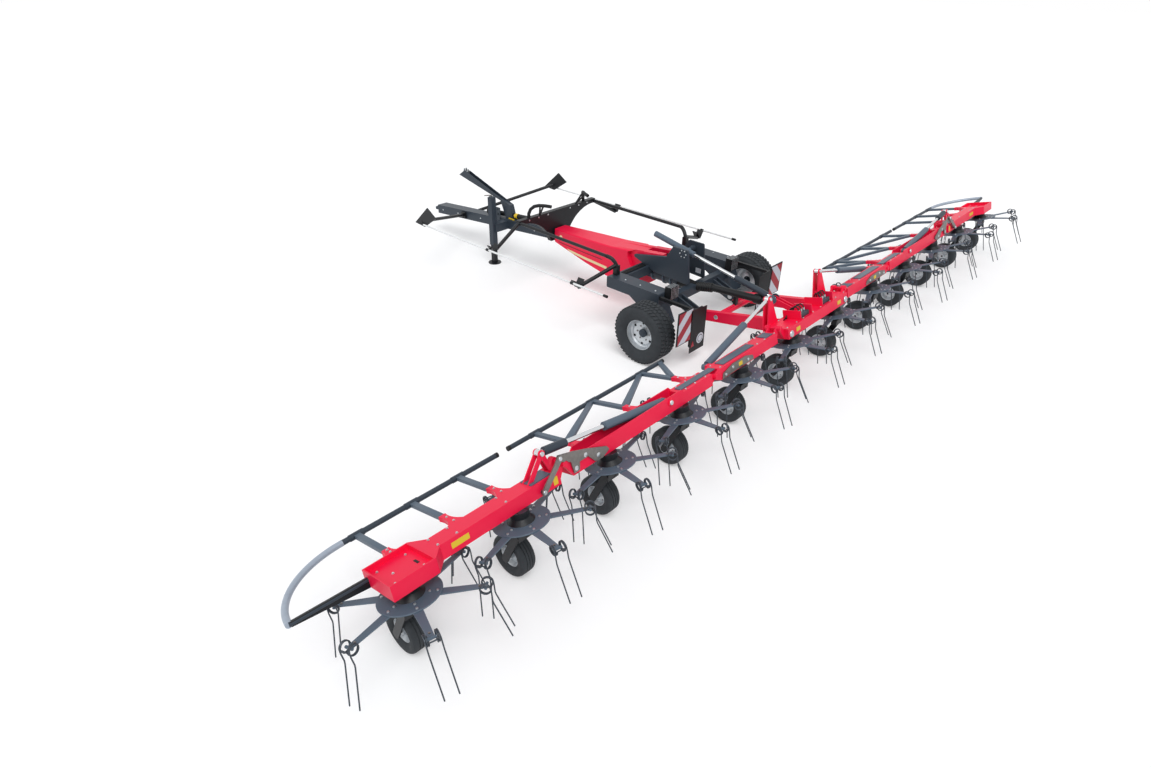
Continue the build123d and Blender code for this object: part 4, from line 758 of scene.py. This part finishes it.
def addCentreTrim(shape, hand, spec):
    addRearFilms(shape, hand, spec["rear"], spec["films"])
    addRearHeads(shape, hand, spec["rear"], spec["bosses"], spec["bossHead"])
    ahead, y, z = spec["linkPin"]
    addDisc(shape, groundSpot(ahead, hand * y, z), across * hand, *spec["linkHead"], slateCoat)
    ahead, y, up = spec["rodPin"]
    addPinHeads(shape, boomSpot(ahead, hand * y, up), boomAhead, spec["rodPinHalf"], spec["rodHead"])
    ahead, y, z = spec["armPin"]
    addPinHeads(shape, groundSpot(ahead, hand * y, z), across, spec["armPinHalf"], spec["armHead"])
    top = spec["top"]
    addTopBolts(shape, hand, spec["boltRows"], spec["boltLines"], top, spec["boltSize"])
    for y in spec["cheeks"]:
        spot = boomSpot(spec["cheekAhead"], hand * y, top + spec["cheekSize"][2] / 2)
        addSlab(shape, spot, spec["cheekSize"], crimsonCoat, across, boomUp, plateEdge)
    valveAhead, valveAcross = spec["valve"]
    valveTop = top + spec["valveSize"][2]
    block = boomSpot(valveAhead, hand * valveAcross, (top + valveTop) / 2)
    addSlab(shape, block, spec["valveSize"], graphiteCoat, across, boomUp, spec["valveEdge"])
    for port in range(spec["ports"]):
        portAcross = valveAcross + (port - (spec["ports"] - 1) / 2) * spec["portGap"]
        addDisc(shape, boomSpot(valveAhead, hand * portAcross, valveTop), boomUp, *spec["port"], brightZinc)
        bend = [boomSpot(valveAhead + a, hand * (portAcross + out), valveTop + up)
                for a, out, up in spec["hoseBend"]]
        addTube(shape, bend, spec["hoseRadius"], hoseRubber, steps=12)


centre = newShape()
for hand in (-1, 1):
    addCentreTrim(centre, hand, centreSpec)
putPiece(meshFrom(centre, "centreTrim"), "centreTrim", "centre")
print("centre trim made")

# Drive shaft under its guard with a bell, the rubber boot at the tower, and the top link's sleeve
driveSpec = {
    "front": (1.42, 0, 0.7058), "rear": (0.74, 0, 0.7632), "guardRadius": 0.050, "bellStart": 0.03,
    "bell": ((0.050, 0), (0.066, 0.008), (0.070, 0.09), (0.054, 0.12), (0.03, 0.125)),
    "armPin": (1.04, 0.455, 0.542), "armHead": (0.030, 0.006),
    "bootFront": (1.668, 0, 0.652), "bootFolds": 9, "bootRadius": 0.066, "foldDepth": 0.012,
    "linkFront": (1.915, 0, 1.114), "linkRear": (0.490, 0, 0.840), "sleeve": (0.840, 1.361),
    "sleeveRadius": 0.0412, "steps": 28,
}
drive, boot, topSleeve = newShape(), newShape(), newShape()
roundSteps = driveSpec["steps"]
front, back = groundSpot(*driveSpec["front"]), groundSpot(*driveSpec["rear"])
shaftRun = (back - front).normalized()
addTube(drive, [front, back], driveSpec["guardRadius"], blackPlastic, steps=roundSteps)
addLathe(drive, driveSpec["bell"], blackPlastic,
         axesAt(back - shaftRun * driveSpec["bellStart"], across, shaftRun), roundSteps)
for hand in (-1, 1):
    ahead, y, z = driveSpec["armPin"]
    addDisc(drive, groundSpot(ahead, hand * y, z), across * hand, *driveSpec["armHead"], brightZinc)
putPiece(meshFrom(drive, "shaftGuard"), "shaftGuard", "lift_arms")

bootStart = groundSpot(*driveSpec["bootFront"])
bootRun = front - bootStart
crest, valley = driveSpec["bootRadius"], driveSpec["bootRadius"] - driveSpec["foldDepth"]
foldPitch = bootRun.length / driveSpec["bootFolds"]
folds = []
for fold in range(driveSpec["bootFolds"]):
    folds += [(valley, foldPitch * fold), (crest, foldPitch * (fold + 0.5))]
folds.append((valley, bootRun.length))
addLathe(boot, folds, hoseRubber, axesAt(bootStart, across, bootRun), roundSteps)
bootPiece = bpy.data.objects.new("shaftBoot", meshFrom(boot, "shaftBoot"))
bpy.context.scene.collection.objects.link(bootPiece)
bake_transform(bootPiece)

linkFront, linkRear = groundSpot(*driveSpec["linkFront"]), groundSpot(*driveSpec["linkRear"])
linkRun = (linkRear - linkFront).normalized()
sleeveEnds = [linkFront + linkRun * reach for reach in driveSpec["sleeve"]]
addTube(topSleeve, sleeveEnds, driveSpec["sleeveRadius"], graphiteCoat, steps=roundSteps)
putPiece(meshFrom(topSleeve, "topSleeve"), "topSleeve", "top_rod")
print("drive shaft and top link dressed")

# Tower: bolt rings at the trunnion, pivot pins, gearbox flanges and the output's guard
towerSpec = {
    "ring": (1.830, 0.200, 1.140), "ringRadius": 0.050, "ringBolts": 6, "ringBoltSize": 0.011,
    "legBolts": (1.76, 2.02, 2.28), "legAcross": 0.86, "legTop": 0.822, "legBoltSize": 0.013,
    "armPin": (1.350, 0.420, 0.480), "armPinHalf": 0.0595, "armHead": (0.034, 0.012),
    "hoses": (2.44, 2.47, 2.50), "hoseRun": (0.22, 0.45, 0.70), "hoseUp": 0.816, "hoseRadius": 0.010,
    "plate": (1.80, -0.170, 0.80), "plateSize": (0.09, 0.07, 0.003),
    "gearboxUp": 0.650, "flanges": (2.07, 2.20, 2.40),
    "flange": ((0.096, 0), (0.114, 0.002), (0.114, 0.024), (0.096, 0.026)), "outputAhead": 1.672,
    "outputGuard": ((0.040, 0), (0.056, 0.002), (0.074, 0.22), (0.090, 0.262), (0.096, 0.285)),
}


def addTowerTrim(shape, hand, spec):
    ahead, y, z = spec["ring"]
    ringSpot = groundSpot(ahead, hand * y, z)
    for bolt in range(spec["ringBolts"]):
        turn = 2 * math.pi * bolt / spec["ringBolts"]
        reach = Vector((math.cos(turn), 0, math.sin(turn))) * spec["ringRadius"]
        addBolt(shape, ringSpot + reach, across * hand, spec["ringBoltSize"], brightZinc)
    for ahead in spec["legBolts"]:
        spot = groundSpot(ahead, hand * spec["legAcross"], spec["legTop"])
        addBolt(shape, spot, upright, spec["legBoltSize"], brightZinc)
    ahead, y, z = spec["armPin"]
    addPinHeads(shape, groundSpot(ahead, hand * y, z), across, spec["armPinHalf"], spec["armHead"])
    for ahead in spec["hoses"]:  # hoses clipped on the cross tube
        run = [groundSpot(ahead, hand * y, spec["hoseUp"]) for y in spec["hoseRun"]]
        addTube(shape, run, spec["hoseRadius"], hoseRubber, steps=12)


tower = newShape()
for hand in (-1, 1):
    addTowerTrim(tower, hand, towerSpec)
addSlab(tower, groundSpot(*towerSpec["plate"]), towerSpec["plateSize"], whiteSheet, forward, across)
for ahead in towerSpec["flanges"]:
    placed = axesAt(groundSpot(ahead, 0, towerSpec["gearboxUp"]), across, forward)
    addLathe(tower, towerSpec["flange"], slateCoat, placed, steps=36)
placed = axesAt(groundSpot(towerSpec["outputAhead"], 0, towerSpec["gearboxUp"]), across, forward)
addLathe(tower, towerSpec["outputGuard"], blackPlastic, placed, steps=32)
putPiece(meshFrom(tower, "towerTrim"), "towerTrim", "chassis")
print("tower trim made")

# Hood: the cream line along its sides and, above it, a black strip painted as the shade in the seam's groove, each
# as ahead, upper and lower edge
hoodSpec = {
    "stations": ((4.39, 0.130), (3.68, 0.185), (3.15, 0.206)), "filmDepths": (-0.002, 0.0015),
    "line": ((4.09, 0.603, 0.600), (4.00, 0.599, 0.564), (3.68, 0.5855, 0.546), (3.20, 0.565, 0.523)),
    "seamShade": ((4.30, 0.664, 0.656), (3.68, 0.659, 0.650), (3.30, 0.656, 0.647)),
    "badge": (4.24, 0.750), "badgeLean": 0.077, "badgeSize": (0.034, 0.002),
}


def hoodHalf(ahead):
    # Half the hood's width at a place along it
    (frontAt, frontHalf), (bendAt, bendHalf), (rearAt, rearHalf) = hoodSpec["stations"]
    if ahead > bendAt:
        return bendHalf + (frontHalf - bendHalf) * (ahead - bendAt) / (frontAt - bendAt)
    return rearHalf + (bendHalf - rearHalf) * (ahead - rearAt) / (bendAt - rearAt)


def addHoodFilm(shape, hand, rows, finish):
    verts, faces = [], []
    for depth in hoodSpec["filmDepths"]:
        for ahead, high, low in rows:
            y = hand * (hoodHalf(ahead) + depth)
            verts += [groundSpot(ahead, y, high), groundSpot(ahead, y, low)]
    top = 2 * len(rows)
    for k in range(0, top - 2, 2):
        faces += [[top + k, top + k + 1, top + k + 3, top + k + 2], [k, k + 2, top + k + 2, top + k],
                  [k + 1, top + k + 1, top + k + 3, k + 3], [k, k + 1, k + 3, k + 2]]
    faces += [[0, top, top + 1, 1], [top - 2, top - 1, 2 * top - 1, 2 * top - 2]]
    addFaces(shape, verts, faces, finish)


hood = newShape()
for hand in (-1, 1):
    addHoodFilm(hood, hand, hoodSpec["line"], creamFilm)
    # Black strip along the seam: painted shade in its groove
    addHoodFilm(hood, hand, hoodSpec["seamShade"], blackPlastic)
    ahead, z = hoodSpec["badge"]
    outward = Vector((hoodSpec["badgeLean"], hand, 0)).normalized()
    addDisc(hood, groundSpot(ahead, hand * hoodHalf(ahead), z), outward, *hoodSpec["badgeSize"], creamFilm)
putPiece(meshFrom(hood, "hoodFilm"), "hoodFilm", "chassis")
print("hood films made")

# Warning boards with slanted bands, sign panels with reflectors, and silver strips on the lamps' ribs as painted
# highlights on their edges
boardSpec = {
    "face": 1.093, "boardIn": 0.940, "boardOut": 1.250, "boardLow": 0.375, "boardHigh": 0.840,
    "boardThick": 0.016, "margin": 0.014, "band": 0.150, "bands": 6, "sheetFace": 1.0775, "sheetThick": 0.002,
    "panel": ((0.630, 0.170), (0.950, 0.170), (0.985, 0.800), (0.640, 0.770)),
    "panelFace": 1.0815, "panelThick": 0.006, "panelEdge": 0.001, "signFace": 1.0755,
    "round": (0.735, 0.330), "roundRadius": 0.075,
    "rings": ((1.0, 0.0, 0.003, whiteSheet), (0.72, 0.003, 0.001, blackPlastic),
              (0.60, 0.004, 0.001, whiteSheet)),
    "triangle": ((0.895, 0.335), (0.860, 0.255), (0.930, 0.255)), "triangleThick": 0.004,
    "ribs": 6, "ribPitch": 0.029, "lampAcross": 0.715, "ribTop": (1.598, 0.900),
    "ribTopSize": (0.098, 0.006, 0.003), "ribRear": (1.548, 0.815), "ribRearSize": (0.006, 0.160, 0.003),
}


def rectangle(left, right, low, high):
    return [(left, low), (right, low), (right, high), (left, high)]


def clipBand(outline, low, high):
    # The part of an outline whose across plus up lies between two values
    for limit, sign in ((low, 1), (high, -1)):
        kept = []
        for here, there in zip(outline, outline[1:] + outline[:1]):
            dHere = sign * (here[0] + here[1] - limit)
            dThere = sign * (there[0] + there[1] - limit)
            if dHere >= 0:
                kept.append(here)
            if dHere * dThere < 0:
                share = dHere / (dHere - dThere)
                kept.append((here[0] + (there[0] - here[0]) * share, here[1] + (there[1] - here[1]) * share))
        outline = kept
    return outline


def addWarningBoard(shape, hand, spec):
    left, right, low, high = (spec[key] for key in ("boardIn", "boardOut", "boardLow", "boardHigh"))
    addRearPlate(shape, rectangle(left, right, low, high), groundSpot(spec["face"], 0, 0), backward,
                 spec["boardThick"], blackPlastic, hand, plateEdge)
    margin = spec["margin"]
    sheet = rectangle(left + margin, right - margin, low + margin, high - margin)
    for band in range(spec["bands"]):
        start = left + low + band * spec["band"]
        strip = clipBand(sheet, start, start + spec["band"])
        if len(strip) > 2:
            addRearPlate(shape, strip, groundSpot(spec["sheetFace"], 0, 0), backward, spec["sheetThick"],
                         whiteSheet if band % 2 else redSheet, hand)


def addSignPanel(shape, hand, spec):
    addRearPlate(shape, spec["panel"], groundSpot(spec["panelFace"], 0, 0), backward, spec["panelThick"],
                 blackPlastic, hand, spec["panelEdge"])
    y, z = spec["round"]
    for share, lift, thick, finish in spec["rings"]:
        spot = groundSpot(spec["signFace"] - lift, hand * y, z)
        addDisc(shape, spot, backward, spec["roundRadius"] * share, thick, finish)
    addRearPlate(shape, spec["triangle"], groundSpot(spec["signFace"], 0, 0), backward,
                 spec["triangleThick"], redSheet, hand)


# Silver strips along each rib's top and rear edges: painted highlights
def addRibEdgeHighlights(shape, hand, spec):
    topAhead, topUp = spec["ribTop"]
    rearAhead, rearUp = spec["ribRear"]
    for rib in range(spec["ribs"]):
        y = hand * (spec["lampAcross"] + (rib - (spec["ribs"] - 1) / 2) * spec["ribPitch"])
        addSlab(shape, groundSpot(topAhead, y, topUp), spec["ribTopSize"], silverLacquer, forward, upright)
        addSlab(shape, groundSpot(rearAhead, y, rearUp), spec["ribRearSize"], silverLacquer, across, backward)


boards = newShape()
for hand in (-1, 1):
    addWarningBoard(boards, hand, boardSpec)
    addSignPanel(boards, hand, boardSpec)
    addRibEdgeHighlights(boards, hand, boardSpec)
putPiece(meshFrom(boards, "warningBoards"), "warningBoards", "chassis")
print("boards made")

# Drawbar: drive line over the tongue, guard at its end, couplings on the hose stand, jack crank
tongueSpec = {
    "pin": (6.060, 0, 0.735),
    "pinGuard": ((0.030, 0), (0.060, 0.0), (0.070, 0.03), (0.078, 0.085), (0.074, 0.085), (0.064, 0.03)),
    "lineRear": (4.60, 0, 0.860), "lineFront": (5.98, 0, 0.735), "lineRadius": 0.040, "ringRadius": 0.044,
    "rings": ((5.40, 5.47), (5.60, 5.64)),
    "mark": (5.50, 0.072, 0.735), "markSize": (0.14, 0.008, 0.022),
    "plugs": ((6.78, 0.022, 1.295), (6.70, 0.022, 1.265)), "plugRun": (-0.012, 0, 0.055), "plugRadius": 0.015,
    "crank": (5.63, 0.38, 1.150), "crankHead": (0.052, 0.012), "crankRadius": 0.009,
    "crankPath": ((0, 0, 0.01), (0, 0, 0.03), (0.01, 0.02, 0.036), (0.05, 0.11, 0.04)),
    "bolts": (4.62, 4.90, 6.30, 6.95, 7.40), "boltSize": 0.014, "beamHalf": 0.100,
    "beamRear": (4.39, 0.735), "beamFront": (7.56, 0.458),
}


def addTongueSides(shape, hand, spec):
    ahead, y, z = spec["mark"]
    addSlab(shape, groundSpot(ahead, hand * y, z), spec["markSize"], yellowFilm, forward, upright, plateEdge)
    for ahead, y, z in spec["plugs"]:
        foot = groundSpot(ahead, hand * y, z)
        addTube(shape, [foot, foot + Vector(spec["plugRun"])], spec["plugRadius"], brightZinc, steps=16)
    (rearAt, rearUp), (frontAt, frontUp) = spec["beamRear"], spec["beamFront"]
    for ahead in spec["bolts"]:
        z = rearUp + (frontUp - rearUp) * (ahead - rearAt) / (frontAt - rearAt)
        spot = groundSpot(ahead, hand * spec["beamHalf"], z)
        addBolt(shape, spot, across * hand, spec["boltSize"], brightZinc)


tongue = newShape()
addLathe(tongue, tongueSpec["pinGuard"], blackPlastic,
         axesAt(groundSpot(*tongueSpec["pin"]), across, forward), steps=32)
lineRear, lineFront = groundSpot(*tongueSpec["lineRear"]), groundSpot(*tongueSpec["lineFront"])
addTube(tongue, [lineRear, lineFront], tongueSpec["lineRadius"], blackPlastic, steps=24)
for ring in tongueSpec["rings"]:
    rearAt, frontAt = tongueSpec["lineRear"][0], tongueSpec["lineFront"][0]
    ends = [lineRear.lerp(lineFront, (ahead - rearAt) / (frontAt - rearAt)) for ahead in ring]
    addTube(tongue, ends, tongueSpec["ringRadius"], yellowFilm, steps=24)
for hand in (-1, 1):
    addTongueSides(tongue, hand, tongueSpec)
crankSpot = groundSpot(*tongueSpec["crank"])
addDisc(tongue, crankSpot, upright, *tongueSpec["crankHead"], graphiteCoat)
crankPath = [crankSpot + Vector(step) for step in tongueSpec["crankPath"]]
addTube(tongue, crankPath, tongueSpec["crankRadius"], bareSteel, steps=12)
putPiece(meshFrom(tongue, "drawbarTrim"), "drawbarTrim", "chassis")
print("drawbar trim made")

# Yoke: bent rest tubes with their posts, and the end caps of the white rods
yokeSpec = {
    "restPath": ((4.47, 0.62, 1.110), (4.475, 0.61, 1.19), (4.46, 0.585, 1.255), (4.42, 0.545, 1.30),
                 (4.36, 0.50, 1.318), (4.28, 0.45, 1.320), (4.18, 0.41, 1.318)),
    "restRadius": 0.026, "postFoot": (4.455, 0.40, 1.12), "postRadius": 0.014,
    "postHeads": ((4.36, 0.475, 1.312), (4.29, 0.475, 1.312)),
    "rodAcross": 1.500, "rodUp": 0.850, "rodEnds": (2.060, 6.080),
    "capRadius": 0.019, "capReach": (-0.05, 0.012),
    "bolts": ((4.420, 0.25, 1.105), (4.420, 0.45, 1.105), (4.420, 0.65, 1.105)), "boltSize": 0.013,
}


def addYokeTrim(shape, hand, spec):
    def place(ahead, y, z):
        return groundSpot(ahead, hand * y, z)

    addTube(shape, [place(*spot) for spot in spec["restPath"]], spec["restRadius"], hoseRubber, steps=20)
    for head in spec["postHeads"]:
        addTube(shape, [place(*spec["postFoot"]), place(*head)], spec["postRadius"], blackCoat, steps=14)
    for end, out in zip(spec["rodEnds"], (-1, 1)):
        cap = [place(end + out * reach, spec["rodAcross"], spec["rodUp"]) for reach in spec["capReach"]]
        addTube(shape, cap, spec["capRadius"], blackPlastic, steps=20)
    for spot in spec["bolts"]:
        addBolt(shape, place(*spot), backward, spec["boltSize"], brightZinc)


yoke = newShape()
for hand in (-1, 1):
    addYokeTrim(yoke, hand, yokeSpec)
putPiece(meshFrom(yoke, "yokeTrim"), "yokeTrim", "chassis")
print("yoke trim made")

# Camera solved from the photograph
cameraSpec = {"spot": (-6.93858, 7.94620, 4.70850), "yaw": -0.811876, "pitch": 0.547385, "roll": 0.010007,
              "lens": 22.394, "sensor": 36, "clipEnd": 200}
yaw, pitch, roll = cameraSpec["yaw"], cameraSpec["pitch"], cameraSpec["roll"]
look = Vector((math.cos(pitch) * math.cos(yaw), math.cos(pitch) * math.sin(yaw), -math.sin(pitch)))
level = look.cross(upright).normalized()
rise = level.cross(look)
right = level * math.cos(roll) + rise * math.sin(roll)
camera = bpy.data.objects.new("camera", bpy.data.cameras.new("camera"))
bpy.context.scene.collection.objects.link(camera)
camera.matrix_world = axesAt(cameraSpec["spot"], right, -look)
camera.data.sensor_width = cameraSpec["sensor"]
camera.data.lens = cameraSpec["lens"]
camera.data.clip_end = cameraSpec["clipEnd"]
bpy.context.scene.camera = camera

lightSpec = {"sky": 0.56, "skyColour": "f4f6fa", "keyFrom": (-5, 3, 9), "key": 1.75, "fillFrom": (4, 6, 5),
             "fill": 0.45, "softness": 40, "floorHalf": 80, "floorGlow": 0.21}
white = (1, 1, 1, 1)


def seenDirectly(tree):
    # 1 for what the camera sees straight, in a mirror or through glass, and 0 for scattered light
    path = addNode(tree, "ShaderNodeLightPath").outputs
    seen = addNode(tree, "ShaderNodeMath", None, {0: path["Is Camera Ray"], 1: path["Is Glossy Ray"]},
                   operation="MAXIMUM")
    clear = addNode(tree, "ShaderNodeMath", None, {0: seen.outputs[0], 1: path["Is Transmission Ray"]},
                    operation="MAXIMUM")
    return clear.outputs[0]


world = bpy.data.worlds.new("studio")
bpy.context.scene.world = world
world.use_nodes = True
tree = world.node_tree
skyLight = addNode(tree, "ShaderNodeBackground", {
    "Color": fromHex(lightSpec["skyColour"]), "Strength": lightSpec["sky"]})
backdrop = addNode(tree, "ShaderNodeBackground", {"Color": white, "Strength": 1.0})
studioSky = addNode(tree, "ShaderNodeMixShader", None, {
    0: seenDirectly(tree), 1: skyLight.outputs[0], 2: backdrop.outputs[0]})
tree.links.new(studioSky.outputs[0], tree.nodes["World Output"].inputs["Surface"])


def addSun(name, spot, power):
    # Broad soft light from one direction, even over the whole width of the boom
    lamp = bpy.data.lights.new(name, "SUN")
    lamp.energy = power
    lamp.angle = math.radians(lightSpec["softness"])
    made = bpy.data.objects.new(name, lamp)
    bpy.context.scene.collection.objects.link(made)
    made.matrix_world = axesAt(Vector(spot), forward, Vector(spot))


addSun("keyLight", lightSpec["keyFrom"], lightSpec["key"])
addSun("fillLight", lightSpec["fillFrom"], lightSpec["fill"])

# Pale studio floor: white to the camera, and it still takes the soft shadow
floorMesh = bpy.data.meshes.new("floor")
half = lightSpec["floorHalf"]
corners = [(x, y, 0) for x, y in rectangle(-half, half, -half, half)]
floorMesh.from_pydata(corners, [], [(0, 1, 2, 3)])
paleFloor = newMaterial("paleStudioFloor", {"colour": "e8e8e8", "roughness": 0.9})
tree = paleFloor.node_tree
glow = addNode(tree, "ShaderNodeMath", {1: lightSpec["floorGlow"]}, {0: seenDirectly(tree)},
               operation="MULTIPLY")
floorShader = tree.nodes["Principled BSDF"]
floorShader.inputs["Emission Color"].default_value = white
tree.links.new(glow.outputs[0], floorShader.inputs["Emission Strength"])
floorMesh.materials.append(paleFloor)
floor = bpy.data.objects.new("floor", floorMesh)
bpy.context.scene.collection.objects.link(floor)
bpy.context.scene.view_settings.view_transform = "Standard"
print("camera, light and floor set")
